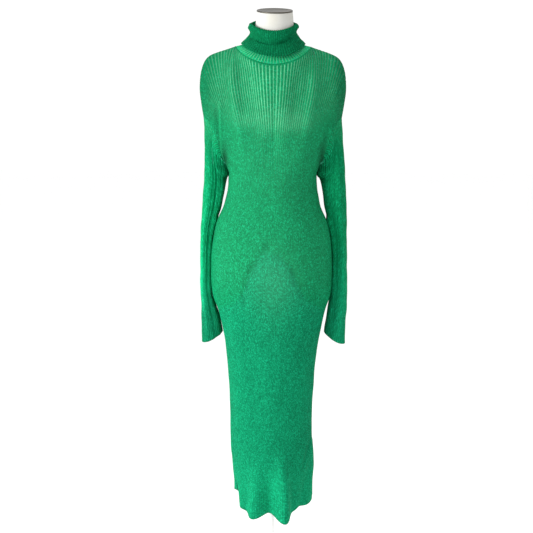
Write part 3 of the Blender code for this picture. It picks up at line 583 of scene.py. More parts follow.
def armhole(turn, x_sign):
    """The armhole's loop along the panels' edges, and how near a point is to the underarm.
    turn is 0 at the outer top, 0.25 in front, 0.5 at the underarm and 0.75 behind."""
    half = 1 - np.abs(1 - 2 * turn)
    up = 2 - half
    edge = np.full_like(up, x_sign)
    loops = []
    for front in (True, False):

        def point(side, at, front=front):
            return panel_point(side, at, front)

        facing = 1.0 if front else -1.0
        normal = facing * normals(point, edge, up, (-1.0, 1.0), (1.0, 2.0))
        above, below = np.clip(up + STEP, 1, 2), np.clip(up - STEP, 1, 2)
        along = point(edge, above) - point(edge, below)
        ahead = facing * x_sign * unit(np.cross(along, normal))
        loops.append(np.stack([point(edge, up) + ahead * SEAM_GAP * 1.5, ahead]))
    return *np.where((turn <= 0.5)[..., None], *loops), half


def fold_depth(turn, z, folds):
    angle = 360 * turn
    depth = np.zeros(np.broadcast(turn, z).shape)
    for top_angle, cuff_angle, width, out, top_z, bottom_z in folds:
        down = np.clip((top_z - z) / (top_z - bottom_z), 0, 1)
        middle = top_angle + (cuff_angle - top_angle) * down
        fade = fall(z, top_z, FOLD_STARTS) * (0.35 + 0.65 * rise(z, bottom_z, FOLD_ENDS))
        depth = depth + out * fade * bell((angle - middle) / width)
    return depth


def sleeve_section(turn, z, x_sign, table, folds):
    """The inside of a hanging sleeve at a height: an oval with its lengthwise folds."""
    angle = 2 * np.pi * turn
    outer, inner, centre_y, half_y = curves(table, SLEEVE_COLUMNS, z)
    fold = fold_depth(turn, z, folds)
    x = (outer + inner) / 2 + ((outer - inner) / 2 + fold) * np.cos(angle)
    y = centre_y - (half_y + fold) * np.sin(angle)
    return stacked(x_sign * x, y, z)


def sleeve_point(turn, down, x_sign, table, folds, tilt):
    """The inside of a sleeve's wall: down is 0 at the armhole, 1 at SLEEVE_TOP_Z and 2 at
    the cuff."""
    turn, down = np.broadcast_arrays(np.asarray(turn, float), np.asarray(down, float))
    around = turn % 1.0
    start, ahead, half = armhole(around, x_sign)
    near = rise(half, 0.4, 0.6)
    start = start + stacked(x_sign * UNDERARM_OPEN * near, 0.0, -0.25 * UNDERARM_OPEN * near)
    top = np.full_like(turn, SLEEVE_TOP_Z)
    end = sleeve_section(around, top, x_sign, table, folds)
    below = sleeve_section(around, top - 0.01, x_sign, table, folds)
    t = np.clip(down, 0, 1)[..., None]
    reach = np.linalg.norm(end - start, axis=-1, keepdims=True)
    arrive = unit(end - below) * reach * 0.4
    leave = ahead * (SLEEVE_LEAVES * np.abs(np.sin(2 * np.pi * around)) ** 1.5)[..., None]
    joined = bezier(t, start, start + leave, end + arrive * 1.3, end)
    away = (1 - np.cos(2 * np.pi * around)) / 2
    cuff = table[-1][0] - tilt * (1 - 2 * away**1.6)
    z = SLEEVE_TOP_Z + (cuff - SLEEVE_TOP_Z) * np.clip(down - 1, 0, 1)
    hanging = sleeve_section(around, z, x_sign, table, folds)
    return np.where((down <= 1)[..., None], joined, hanging)


def collar_point(turn, station):
    """The middle of the turtleneck's fabric: turn is 0 in front, 0.5 behind."""
    turn, station = np.broadcast_arrays(np.asarray(turn, float), np.asarray(station, float))
    side, front, back, z_side, z_front, z_back = curves(COLLAR_PATH, COLLAR_COLUMNS, station)
    angle = 2 * np.pi * turn
    forward = np.cos(angle)
    in_front = forward >= 0
    z = z_side + (np.where(in_front, z_front, z_back) - z_side) * np.abs(forward) ** 1.5
    y = COLLAR_Y - np.where(in_front, front, back) * forward
    y = y + (RIDGE_Y - COLLAR_Y) * np.abs(np.sin(angle)) ** 4 * np.clip(1 - station / 3, 0, 1)
    return stacked(TOP_SHIFT_X + side * np.sin(angle), y, z)


def line_depth(a, b, rows):
    """Depth at (a, b) of soft troughs and ridges that run from (a0, b0) to (a1, b1)."""
    depth = np.zeros(np.broadcast(a, b).shape)
    for a0, b0, a1, b1, width, out in rows:
        along_a, along_b = a1 - a0, b1 - b0
        length = math.hypot(along_a, along_b)
        along = ((a - a0) * along_a + (b - b0) * along_b) / length**2
        across = ((a - a0) * along_b - (b - b0) * along_a) / length
        ends = np.clip(np.abs(along - 0.5) - 0.5, 0, None) * length
        depth = depth + out * np.exp(-((across / width) ** 2) - (ends / (1.6 * width)) ** 2)
    return depth


def rib_profile(ribs):
    """Height of rounded ribs with narrow valleys between them, from 0 to 1."""
    return np.abs(np.sin(np.pi * ribs))


def waver(a, b, seed, rates):
    """A slow unevenness between -1 and 1, the same each run."""
    terms = zip(rates, (3.3, 8.3, -4.9), (1.0, 2.1, 3.7))
    return sum(np.sin(rate * a + slant * b + phase * seed) for rate, slant, phase in terms) / 3


# ---- meshes ----------------------------------------------------------


def arc_length(points):
    """Length along each column of a grid of points, from its first row."""
    steps = np.linalg.norm(np.diff(points, axis=0), axis=-1)
    return np.concatenate([np.zeros((1, points.shape[1])), np.cumsum(steps, axis=0)])


def linked_object(name, data):
    made = bpy.data.objects.new(name, data)
    bpy.context.scene.collection.objects.link(made)
    return made


def grid_object(name, points, ribs, lengths, values, closed, order=np.s_[:]):
    """A grid laid through rows of points, with a knit map in ribs by rib widths and named
    values at its points. A closed one is welded where its ends meet. The order turns rows
    round, where the faces would point inwards."""
    points, ribs, lengths = points[order], ribs[order], lengths[order]
    rows, columns = points.shape[0] - 1, points.shape[1] - 1
    bm = bmesh.new()
    bmesh.ops.create_grid(bm, x_segments=columns, y_segments=rows, size=0.5)
    mesh = bpy.data.meshes.new(name)
    bm.to_mesh(mesh)
    bm.free()
    flat = np.empty(len(mesh.vertices) * 3, np.float32)
    mesh.vertices.foreach_get("co", flat)
    flat = flat.reshape(-1, 3)
    row = np.rint((flat[:, 1] + 0.5) * rows).astype(int)
    column = np.rint((flat[:, 0] + 0.5) * columns).astype(int)
    mesh.vertices.foreach_set("co", points[row, column].astype(np.float32).ravel())
    corner = np.empty(len(mesh.loops), np.int32)
    mesh.loops.foreach_get("vertex_index", corner)
    at = np.stack([ribs[row, column], lengths[row, column] / RIB_PITCH], axis=-1)
    layer = mesh.uv_layers.new(name="knit")
    layer.data.foreach_set("uv", at[corner].astype(np.float32).ravel())
    for key, value in values.items():
        attribute = mesh.attributes.new(key, "FLOAT", "POINT")
        attribute.data.foreach_set("value", value[order][row, column].astype(np.float32))
    if closed:
        bm = bmesh.new()
        bm.from_mesh(mesh)
        bmesh.ops.remove_doubles(bm, verts=bm.verts, dist=1e-5)
        bm.to_mesh(mesh)
        bm.free()
    mesh.shade_smooth()
    return linked_object(name, mesh)


def thicken(piece, offset):
    """Gives a cloth its thickness, and its inside the second material."""
    solid = piece.modifiers.new("cloth_thickness", "SOLIDIFY")
    solid.thickness = CLOTH
    solid.offset = offset
    solid.material_offset = 1
    solid.material_offset_rim = 0
    return piece


def dress_piece(piece, materials, node):
    for material in materials:
        piece.data.materials.append(material)
    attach(piece, "root")
    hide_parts(node)
    return piece


def two_spans(first, second):
    """Rows from 0 to 1 and on to 2, in so many steps each."""
    return np.concatenate([np.linspace(0, 1, first + 1), 1 + np.linspace(0, 1, second + 1)[1:]])[:, None]


def rib_sides(across, ups):
    """Where the ribs run over a panel: wide apart over the chest and the shoulders, and
    crowded where they run out along the armholes."""
    reach, sign = np.abs(across), np.sign(across)
    at_top = curve(RIB_FAN, FAN_COLUMNS, "side", reach)
    return sign * (reach + (at_top - reach) * smooth_step(1.4 * (ups - 1)))


def panel_pull(x, z, front, from_top):
    """How far the rows are pulled apart over the bust and below the neckline, and how far the
    form shows through."""
    bust = spots(x, z, BUST_SPOTS)
    shoulders = rise(z, *PULLED_Z) * fall(np.abs(x), *PULLED_X)
    middle = 0.16 * rise(z, *PULLED_MIDDLE_Z) * bell(x / 0.09)
    below_neck = bell(from_top / 0.030) * plateau(x / 0.15)
    strands = 0.85 * bust + spots(x, z, CHEST_SPOT) + 0.55 * shoulders + 0.26 * below_neck + middle
    pulled = np.clip(strands, 0, 1)
    over_form = rise(z, *OVER_FORM_Z) * fall(np.abs(x), *OVER_FORM_X)
    if front:
        return pulled, over_form + (2.0 * bust + spots(x, z, LAP_SPOT))
    return 0.6 * np.maximum(pulled - bust, 0), over_form


def panel_painted_light(x, z, folds):
    """Painted light and shade over a panel, from its folds, underarms, yoke and shoulders, and lighter
    at the hem.
    """
    # Painted light at the hem, painted shade in the folds' troughs and painted light on their ridges.
    tone = 0.97 + 0.19 * fall(z, *HEM_LIGHT_Z) + 42 * np.clip(folds, -0.004, 0.004)
    # Painted shade in the underarm's hollow.
    tone = tone - spots(np.abs(x), z, UNDERARM_SHADE_SPOT)
    # Painted light on the +X side of the chest and painted shade on its -X side, with painted shade on
    # the yoke and the shoulders.
    tone = tone + 0.08 * np.clip(x / 0.12, -1, 1) * rise(z, *SIDE_LIGHT_Z)
    tone = tone - 0.06 * rise(z, *YOKE_SHADE_Z)
    drop = rise(np.abs(x), *SHOULDER_SHADE_X) * rise(z, *SHOULDER_SHADE_Z)
    tone = tone - np.where(x > 0, 0.36, 0.16) * drop
    # A painted light streak down the middle of the hem.
    return tone + 0.30 * bell((x + 0.018) / 0.030) * fall(z, *HEM_LIGHT_STREAK_Z)


def panel_slack(x, z, front):
    """How slack the knit hangs: from the hips down, and in front below the arch on the lap."""
    below = fall(z, *SLACK_Z)
    if not front:
        return below
    return 0.20 * below + 0.95 * fall(z, curve(LAP_ARCH, LAP_COLUMNS, "z", x), LAP_STEP)


def panel(name, front, knit):
    """One panel: its surface moved out by the wall, the ribs and the hand-placed folds."""
    ups = two_spans(PANEL_ROWS_LOW, PANEL_ROWS_HIGH)
    across = np.linspace(-1, 1, PANEL_RIBS * PANEL_POINTS_PER_RIB + 1)[None, :]
    sides = rib_sides(across, ups)
    facing = 1.0 if front else -1.0

    def point(side, up):
        return panel_point(side, up, front)

    base = point(sides, ups)
    normal = facing * normals(point, sides, ups, (-1.0, 0.0), (1.0, 2.0))
    on_top = (ups == 2) & (np.abs(across) >= NECK_RIB_SHARE - 1e-9)
    base[..., 1] -= np.where((np.abs(across) == 1) | on_top, 0.5 * facing * SEAM_GAP, 0.0)
    x, z = base[..., 0], base[..., 2]
    ribs = (across + 1) / 2 * PANEL_RIBS + 0 * ups
    room = np.clip(np.gradient(sides, across[0], axis=1), 0.2, 1.1)
    lengths = arc_length(base)
    # The ribs sink into the linked seams at the neckline, the shoulder and the sides.
    from_top = lengths[-1:] - lengths
    from_side = (1 - np.abs(across)) * PANEL_RIBS / 2
    on_neck = np.abs(across) < NECK_RIB_SHARE
    seam = rise(from_top, np.where(on_neck, SEAM_SINK, 0.0), SEAM_SINK)
    seam = seam * smooth_step(from_side / (0.7 - 0.5 * rise(ups, 1, 0.1)))
    welt = np.where(on_neck, bell((from_top - WELT_AT) / WELT_HALF), 0.0)
    # They stand out above the bust and at the hem, and lie flat and close between.
    ribbed = 0.30 + 0.70 * rise(z, *RIBS_CHEST_Z) + 0.35 * fall(z, *RIBS_HEM_Z)
    ribbed = ribbed + 0.50 * rise(z, *RIBS_SHOULDER_Z) * rise(np.abs(x), *RIBS_SHOULDER_X)
    ribbed = ribbed * room
    crown = SHOULDER_FULLNESS * rise(z, *CROWN_Z) * rise(np.abs(x), *CROWN_X)
    height = knit.valley_wall + knit.rib_height * rib_profile(ribs) * seam * ribbed + crown
    folds = line_depth(x, z, FRONT_CREASES if front else BACK_CREASES)
    uneven = 0.0008 * waver(11 * x, 9 * z, 1.0 if front else 4.0, FLAT_RATES)
    free = smooth_step(from_side / 2.5) * smooth_step(from_top / 0.02)
    height = height + WELT_HEIGHT * welt + (np.maximum(folds + uneven, -0.004) + 0.0016) * free
    # The back's inside is in the shade where it goes in behind the front at the slit.
    slit_edge = body_row(np.full_like(z, -1.0), z, True)[..., 0]
    shaded = bell((x - slit_edge - 0.002) / 0.006) * fall(z, SLIT_TOP, 0.03)
    pulled, over_form = panel_pull(x, z, front, from_top)
    values = {
        "pulled": pulled * seam,
        "over_form": over_form,
        "linked": welt,
        "ribbed": ribbed,
        "tone": panel_painted_light(x, z, folds),
        "shaded": 0.0 * z if front else shaded,
        "slack": panel_slack(x, z, front),
    }
    outer = base + normal * height[..., None]
    order = np.s_[:] if front else np.s_[:, ::-1]
    return grid_object(name, outer, ribs, lengths, values, False, order)


def again(values):
    """The rows with the first one given twice."""
    return np.concatenate([values[:1], values])


def tube_object(name, points, normal, drop, ribs, lengths, values, order=np.s_[:]):
    """A closed grid with one more row before its first, which runs on under the piece that
    the tube is linked to."""
    ahead = unit(points[0] - points[1])
    points = np.concatenate([(points[0] + TUCK * ahead - drop * normal[0])[None], points])
    values = {key: again(value) for key, value in values.items()}
    return grid_object(name, points, again(ribs), again(lengths), values, True, order)


def sleeve(name, x_sign, table, folds, tilt, knit):
    """One sleeve: a tube moved out by the wall, the ribs and its lengthwise folds."""
    downs = two_spans(SLEEVE_ROWS_JOIN, SLEEVE_ROWS_HANG)
    turns = np.linspace(0, 1, SLEEVE_RIBS * SLEEVE_POINTS_PER_RIB + 1)[None, :]

    def point(turn, down):
        return sleeve_point(turn, down, x_sign, table, folds, tilt)

    base = point(turns, downs)
    normal = x_sign * normals(point, turns, downs, (-1.0, 0.0), (2.0, 2.0))
    # Below the underarm the knit clings to the dress until it lets go in a round arch.
    z = base[..., 2]
    body = body_row(np.full_like(z, x_sign), z, True)[..., 0] + SLEEVE_CLEAR * x_sign
    cling = rise(z, ARCH_TOP_Z, ARCH_STEP) * plateau((turns - 0.5) / 0.13)
    cling = cling * smooth_step(downs / 0.15)
    # It lies against the hip too, where it hangs close to it.
    apart = x_sign * (base[..., 0] - body)
    at_hip = fall(z, *HIP_TOP_Z) * rise(z, *HIP_LOW_Z)
    near_hip = fall(apart, *HIP_NEAR) * plateau((turns - 0.5) / 0.16)
    cling = np.maximum(cling, at_hip * near_hip)
    base[..., 0] -= x_sign * np.clip(apart, 0, None) * cling
    ribs = turns * SLEEVE_RIBS + 0 * downs
    lengths = arc_length(base)
    seam = smooth_step(lengths / SEAM_SINK)
    uneven = 0.0009 * waver(2 * np.pi * turns, 14 * z, 2.0 + x_sign, ROUND_RATES)
    ribbed = 0.45 + 0.35 * rise(z, *SLEEVE_RIBS_Z) + 0.25 * fall(z, *CUFF_RIBS_Z)
    height = knit.valley_wall + knit.rib_height * rib_profile(ribs) * (0.3 + 0.7 * seam) * ribbed
    outer = base + normal * (height + uneven * seam)[..., None]
    above = rise(z, *SLEEVE_PULLED_Z)
    # Painted light and shade down the sleeve, lighter on the turn that faces the light, with painted
    # shade at the armpit.
    tone = curve(SLEEVE_TONES, TONE_COLUMNS, "left" if x_sign > 0 else "right", z)
    in_light = plateau(((turns + 0.5) % 1.0 - 0.63) / 0.17)
    tone = np.minimum(tone, 0.9) + np.clip(tone - 0.9, 0, None) * (0.30 + 0.70 * in_light)
    values = {
        "pulled": 0.40 * above * seam,
        "over_form": 0.4 * above,
        "linked": 0.0 * ribs,
        "ribbed": ribbed,
        "tone": tone - spots(turns, z, ARMPIT_SHADE_SPOT),
        "slack": fall(z, *SLACK_Z),
    }
    order = np.s_[::-1, ::-1] if x_sign > 0 else np.s_[::-1]
    return tube_object(name, outer, normal, SLEEVE_DROP, ribs, lengths, values, order)


def turtleneck(name, knit):
    """The neckband, the standing part and the turned-over part in one tube."""
    last = float(len(COLLAR_PATH) - 1)
    stations = np.linspace(0, last, COLLAR_ROWS + 1)[:, None]
    turns = np.linspace(0, 1, COLLAR_RIBS * COLLAR_POINTS_PER_RIB + 1)[None, :]
    middle = collar_point(turns, stations)
    out = normals(collar_point, turns, stations, (-1.0, 0.0), (2.0, last))
    ribs = turns * COLLAR_RIBS + 0 * stations
    lengths = arc_length(middle)
    centred = (turns + 0.5) % 1.0 - 0.5
    to_turns = np.array([1, STATIONS_PER_TURN, 1, STATIONS_PER_TURN, STATIONS_PER_TURN, 1])
    folds = sum(
        line_depth(shifted, stations / STATIONS_PER_TURN, [np.array(row) / to_turns])
        for row in COLLAR_FOLDS
        for shifted in (centred, centred + 1.0)
    )
    turned = rise(stations, 6, 1.0)
    uneven = 0.0010 * waver(2 * np.pi * turns, 0.6 * stations, 5.0, ROUND_RATES) * rise(stations, 3, 2)
    facing = 1 - 2 * rise(stations, 4.3, 1.2)
    wave = (rib_profile(ribs) - 0.5) * knit.rib_height * (0.35 + 0.65 * smooth_step(stations / 0.5))
    moved = out * (wave * facing - (folds + uneven) * turned)[..., None]
    over_form = fall(stations, 3.5, 1.5) + 0 * ribs
    values = {
        "pulled": bell((stations - 1.2) / 1.3) * (1.05 + 0.50 * bell((centred + 0.10) / 0.09)),
        "over_form": over_form,
        "linked": 0 * ribs,
        "ribbed": 1.25 + 0 * ribs,
        # The turned-over part, where the knit lies double, is darker; the neckband gets painted light
        # against the shadow of the flap above it.
        "tone": 0.62 + 1.25 * over_form,
    }
    return tube_object(name, middle + moved, out, COLLAR_DROP, ribs, lengths, values)


# ---- materials -------------------------------------------------------


def opaque(color, shares=(1.0, 1.0, 1.0)):
    """A colour with its alpha, each channel darkened to a share of itself."""
    return tuple(share * channel for share, channel in zip(shares, color)) + (1.0,)


class Nodes:
    """Short calls for the nodes of one material."""

    def __init__(self, name):
        self.material = bpy.data.materials.new(name)
        self.material.use_nodes = True
        self.tree = self.material.node_tree
        self.shader = self.tree.nodes["Principled BSDF"]

    def put(self, socket, value):
        if isinstance(value, bpy.types.NodeSocket):
            self.tree.links.new(value, socket)
        else:
            socket.default_value = value

    def add(self, kind, *values, **settings):
        """A node with its settings, and values or links for its first sockets."""
        node = self.tree.nodes.new(kind)
        for key, value in settings.items():
            setattr(node, key, value)
        for socket, value in zip(node.inputs, values):
            self.put(socket, value)
        return node

    def fill(self, node, **sockets):
        for name, value in sockets.items():
            self.put(node.inputs[name.replace("_", " ")], value)
        return node

    def math(self, operation, *values):
        return self.add("ShaderNodeMath", *values, operation=operation).outputs[0]

    def times(self, *values):
        return self.math("MULTIPLY", *values)

    def scaled(self, value, by, plus):
        return self.math("MULTIPLY_ADD", value, by, plus)

    def split(self, vector):
        return self.add("ShaderNodeSeparateXYZ", vector).outputs

    def joined(self, *values):
        return self.add("ShaderNodeCombineXYZ", *values).outputs[0]

    def place(self):
        return self.add("ShaderNodeTexCoord").outputs["Object"]

    def attribute(self, name):
        return self.add("ShaderNodeAttribute", attribute_name=name).outputs["Fac"]

    def mix(self, share, first, second, blend="MIX"):
        node = self.add("ShaderNodeMix", data_type="RGBA", blend_type=blend)
        for at, value in zip((0, 6, 7), (share, first, second)):
            self.put(node.inputs[at], value)
        return node.outputs[2]

    def noise(self, vector, scale, detail):
        node = self.add("ShaderNodeTexNoise")
        return self.fill(node, Vector=vector, Scale=scale, Detail=detail).outputs["Fac"]

    def ramp(self, value, low, high):
        node = self.add("ShaderNodeMapRange", interpolation_type="SMOOTHSTEP")
        return self.fill(node, Value=value, From_Min=low, From_Max=high).outputs["Result"]

    def bump(self, height, distance, strength=1.0):
        node = self.add("ShaderNodeBump")
        return self.fill(node, Height=height, Distance=distance, Strength=strength).outputs["Normal"]

    def finish(self, **sockets):
        self.fill(self.shader, **sockets)
        return self.material


def knit_shade(n, knit, stitch, random, valley, place):
    """Painted shade within a stitch and in the valleys between ribs, the painted light and shade of the
    tone attribute, and random tone from stitch to stitch and in slow drifts.
    """
    ribbed = n.attribute("ribbed")
    shade = n.scaled(n.ramp(stitch, 0.05, 0.75), 0.50, 0.50)
    spread = n.scaled(ribbed, -0.36, 0.84)
    shade = n.times(shade, n.scaled(n.math("SUBTRACT", random, 0.5), spread, 1.08))
    shade = n.times(shade, n.scaled(n.noise(place, 9.0, 3.0), 0.30, 0.85))
    shade = n.times(shade, n.attribute("tone"))
    valley_shade = n.times(n.times(valley, ribbed), VALLEY_SHADE)
    return n.times(shade, n.math("ADD", valley_shade, 1.0))


def knit_gaps(n, knit, color, valley, place):
    """The form, showing pale between ribs that are pulled apart, and the plain linked seams."""
    pale = opaque(knit.gap_color)
    color = n.mix(n.times(n.attribute("over_form"), 0.035), color, pale)
    gap = n.times(n.ramp(valley, 0.12, 0.80), n.attribute("pulled"))
    gap = n.times(gap, n.scaled(n.noise(place, 45.0, 3.0), 1.3, 0.20))
    color = n.mix(n.times(gap, knit.gap_strength), color, pale)
    return n.mix(n.times(n.attribute("linked"), 0.8), color, opaque(knit.yarn_color))


def knit_material(name, knit, inside=False):
    """Rib knit in a lustrous yarn: chevron stitches along each rib, painted shade in the valleys between
    them, painted glints on single stitches, and the form showing pale between ribs that are pulled
    apart."""
    n = Nodes(name)
    place = n.place()
    ribs, along, _ = n.split(n.add("ShaderNodeUVMap", uv_map="knit").outputs["UV"])
    wales = n.times(ribs, float(knit.wales_per_rib))
    in_wale = n.math("FRACT", wales)
    from_middle = n.math("ABSOLUTE", n.math("SUBTRACT", in_wale, 0.5))
    slanted = n.math("ADD", n.times(along, knit.courses_per_rib), n.times(from_middle, STITCH_SLANT))
    strand = n.scaled(n.math("SINE", n.times(slanted, 2 * math.pi)), 0.5, 0.5)
    round_wale = n.math("SINE", n.times(in_wale, math.pi))
    stitch = n.times(n.scaled(strand, 0.55, 0.45), round_wale)
    cell = n.joined(n.math("FLOOR", wales), n.math("FLOOR", slanted))
    speck = n.add("ShaderNodeTexWhiteNoise", noise_dimensions="2D")
    random = n.fill(speck, Vector=cell).outputs["Value"]
    in_rib = n.math("ABSOLUTE", n.math("SINE", n.times(ribs, math.pi)))
    valley = n.math("SUBTRACT", 1.0, n.ramp(in_rib, 0.05, 0.62))
    yarn = n.mix(n.attribute("slack"), opaque(knit.yarn_color), opaque(knit.skirt_color))
    shade = knit_shade(n, knit, stitch, random, valley, place)
    color = n.mix(1.0, yarn, n.joined(shade, shade, shade), "MULTIPLY")
    # Painted glints: single stitches lit up in the glint colour, stronger where the tone attribute
    # paints more light.
    bright = n.times(n.ramp(random, 0.80, 1.0), knit.glint_strength)
    bright = n.times(bright, n.math("POWER", n.attribute("tone"), 2.0))
    color = n.mix(bright, color, opaque(knit.glint_color))
    if inside:
        color = n.mix(0.45, color, opaque(knit.inside_color))
        color = n.mix(n.times(n.attribute("shaded"), 0.85), color, SLIT_SHADE)
    else:
        color = knit_gaps(n, knit, color, valley, place)
    relief = n.math("ADD", stitch, n.times(random, 0.25))
    return n.finish(
        Base_Color=color,
        Roughness=n.scaled(random, -0.22, 0.80),
        Normal=n.bump(relief, knit.stitch_depth),
        Sheen_Weight=0.005,
        Sheen_Roughness=0.45,
        Sheen_Tint=(0.20, 1.0, 0.60, 1.0),
        Specular_IOR_Level=0.02,
    )


def cover_material(name, color):
    """Smooth white jersey: a faint weave and slightly uneven tone."""
    n = Nodes(name)
    place = n.place()
    weave = n.fill(n.add("ShaderNodeTexVoronoi"), Vector=place, Scale=1100.0)
    dusty = opaque(color, (0.90, 0.88, 0.83))
    tone = n.mix(n.ramp(n.noise(place, 14.0, 4.0), 0.40, 0.75), opaque(color), dusty)
    normal = n.bump(weave.outputs["Distance"], 0.00025, 0.6)
    return n.finish(Base_Color=tone, Roughness=0.82, Sheen_Weight=0.15, Normal=normal)


def brushed_material(name, color):
    """Dark metal with fine rings from turning and a few dull patches."""
    n = Nodes(name)
    place = n.place()
    x, y, _ = n.split(place)
    radius = n.math("SQRT", n.math("ADD", n.math("POWER", x, 2.0), n.math("POWER", y, 2.0)))
    rings = n.noise(n.joined(radius), 900.0, 3.0)
    dull = opaque(color, (0.72, 0.72, 0.72))
    tone = n.mix(n.ramp(n.noise(place, 22.0, 4.0), 0.42, 0.70), opaque(color), dull)
    rough = n.scaled(rings, 0.18, 0.33)
    return n.finish(Base_Color=tone, Metallic=0.85, Roughness=rough, Normal=n.bump(rings, 0.0001, 0.5))


def paint_material(name, color):
    """White stove enamel: a little orange peel and slightly uneven tone."""
    n = Nodes(name)
    place = n.place()
    peel = n.bump(n.noise(place, 420.0, 2.0), 0.0002, 0.25)
    cloudy = n.noise(place, 11.0, 3.0)
    worn = opaque(color, (0.93, 0.92, 0.90))
    tone = n.mix(n.ramp(cloudy, 0.45, 0.75), opaque(color), worn)
    rough = n.scaled(cloudy, 0.15, 0.24)
    return n.finish(Base_Color=tone, Roughness=rough, Coat_Weight=0.3, Normal=peel)


# ---- form and stand --------------------------------------------------


def form_ring(angle, z, half_x, front, back, centre_y=BODY_Y, power=2.0):
    cosine, sine = np.cos(angle), np.sin(angle)
    x = half_x * np.sign(cosine) * np.abs(cosine) ** (2 / power)
    y = centre_y + np.where(sine > 0, back, front) * np.sign(sine) * np.abs(sine) ** (2 / power)
    return stacked(x, y, z + NECK_TOP_TILT * y * rise(z, NECK_TILT_FROM, 0.02))


def form_rings():
    """The torso's rings: an eased underside, the solids' sections and a rounded neck rim."""
    angle = np.linspace(0, 2 * np.pi, FORM_COLUMNS_ROUND + 1)
    keys = []
    for z in FORM_LOW_HEIGHTS:
        half_x, front, back, shift, _ = map(float, curves(BODY_SECTIONS, BODY_COLUMNS, z))
        sizes = (half_x - abs(shift) - FORM_INSET, front - FORM_INSET, back - FORM_INSET)
        keys.append((z, *sizes, BODY_Y, 2.0))
    keys.extend(FORM_SECTIONS)
    low_z, *low_sizes = keys[0][:4]
    high_z, *high_sizes = keys[-1][:4]
    rings = []
    for share in (0.0, 0.5):
        rings.append(form_ring(angle, FORM_BOTTOM, *(share * size for size in low_sizes)))
    for inset, drop in FORM_LOWER_EDGE:
        z = low_z - drop * (low_z - FORM_BOTTOM)
        rings.append(form_ring(angle, z, *(size - inset for size in low_sizes)))
    for low, high in zip(keys, keys[1:]):
        steps = max(2, int((high[0] - low[0]) / FORM_RING_STEP))
        for z in np.linspace(low[0], high[0], steps, endpoint=False):
            rings.append(form_ring(angle, z, *map(float, curves(keys, FORM_COLUMNS, z))))
    for inset, up in FORM_RIM:
        rings.append(form_ring(angle, high_z + up, *(size - inset for size in high_sizes), 0.0))
    return np.array(rings)


def plain_object(name, bm):
    bmesh.ops.recalc_face_normals(bm, faces=bm.faces)
    mesh = bpy.data.meshes.new(name)
    bm.to_mesh(mesh)
    bm.free()
    mesh.shade_smooth()
    mesh.set_sharp_from_angle(angle=math.radians(SMOOTH_ANGLE))
    return linked_object(name, mesh)


def spun(name, profile, steps):
    """A round body turned from (radius, height) pairs, bottom to top, on the pole's axis."""
    bm = bmesh.new()
    points = [bm.verts.new((radius, 0.0, z)) for radius, z in profile]
    edges = [bm.edges.new(pair) for pair in zip(points, points[1:])]
    bmesh.ops.spin(
        bm,
        geom=points + edges,
        cent=(0, 0, 0),
        axis=(0, 0, 1),
        angle=2 * math.pi,
        steps=steps,
        use_merge=True,
    )
    bmesh.ops.remove_doubles(bm, verts=bm.verts, dist=1e-6)
    return plain_object(name, bm)


# ---- settings --------------------------------------------------------


def color_setting(name, description, *color):
    return bpy.props.FloatVectorProperty(
        name=name, description=description, subtype="COLOR", default=color, min=0, max=1
    )


def share_setting(name, description, default):
    return bpy.props.FloatProperty(
        name=name, description=description, subtype="FACTOR", default=default, min=0, max=1
    )


def number_setting(name, description, default, low, high, unit="NONE"):
    return bpy.props.FloatProperty(
        name=name, description=description, unit=unit, default=default, min=low, max=high
    )


class KnitSettings(bpy.types.PropertyGroup):
    """Yarn and gauge of the dress"""

    yarn_color: color_setting("Yarn", "Colour of the yarn", 0.002, 0.245, 0.090)
    skirt_color: color_setting(
        "Yarn, skirt", "Colour of the slacker knit below the hips", 0.004, 0.245, 0.108
    )
    # Painted glints of the lustrous yarn.
    glint_color: color_setting(
        "Bright stitches", "Colour of single lustrous stitches", 0.012, 0.450, 0.240
    )
    gap_color: color_setting(
        "Gaps", "What shows between ribs that are pulled apart", 0.170, 0.620, 0.330
    )
    gap_strength: share_setting("Gap strength", "How clearly the gaps between ribs show", 0.75)
    inside_color: color_setting("Inside", "Colour of the knit's purl side", 0.060, 0.400, 0.260)
    glint_strength: share_setting("Sparkle", "Share of a bright stitch in the yarn's colour", 0.32)
    wales_per_rib: bpy.props.IntProperty(
        name="Wales per rib", description="Columns of stitches in one rib and its valley",
        default=2, min=1, max=6,
    )
    courses_per_rib: number_setting("Courses", "Rows of stitches in the width of one rib", 1.7, 1, 8)
    rib_height: number_setting(
        "Rib height", "Height of a rib over its valley", 0.0014, 0, 0.004, "LENGTH"
    )
    valley_wall: number_setting(
        "Wall", "Thickness of the knit in a valley", 0.0012, 0.0004, 0.003, "LENGTH"
    )
    stitch_depth: number_setting(
        "Stitch relief", "Depth of the stitches' own relief", 0.0006, 0, 0.002, "LENGTH"
    )


class StandSettings(bpy.types.PropertyGroup):
    """Dress form and its stand"""

    cover_color: color_setting("Cover", "Colour of the form's jersey cover", 0.520, 0.518, 0.488)
    cap_color: color_setting("Neck cap", "Colour of the neck's metal cap", 0.088, 0.080, 0.064)
    stand_color: color_setting("Stand", "Colour of the pole and base", 0.86, 0.86, 0.85)


class StudioSettings(bpy.types.PropertyGroup):
    """Floor and light"""

    floor_color: color_setting("Floor", "Colour of the floor", 0.96, 0.96, 0.96)
    key_power: number_setting(
        "Key light", "Power of the large light at the wearer's right", 135.0, 0, 2000
    )
    fill_power: number_setting("Fill light", "Power of the light beside the camera", 6.0, 0, 2000)
    world_strength: number_setting("Room", "Strength of the even light of the room", 1.05, 0, 5)


# ---- operators -------------------------------------------------------


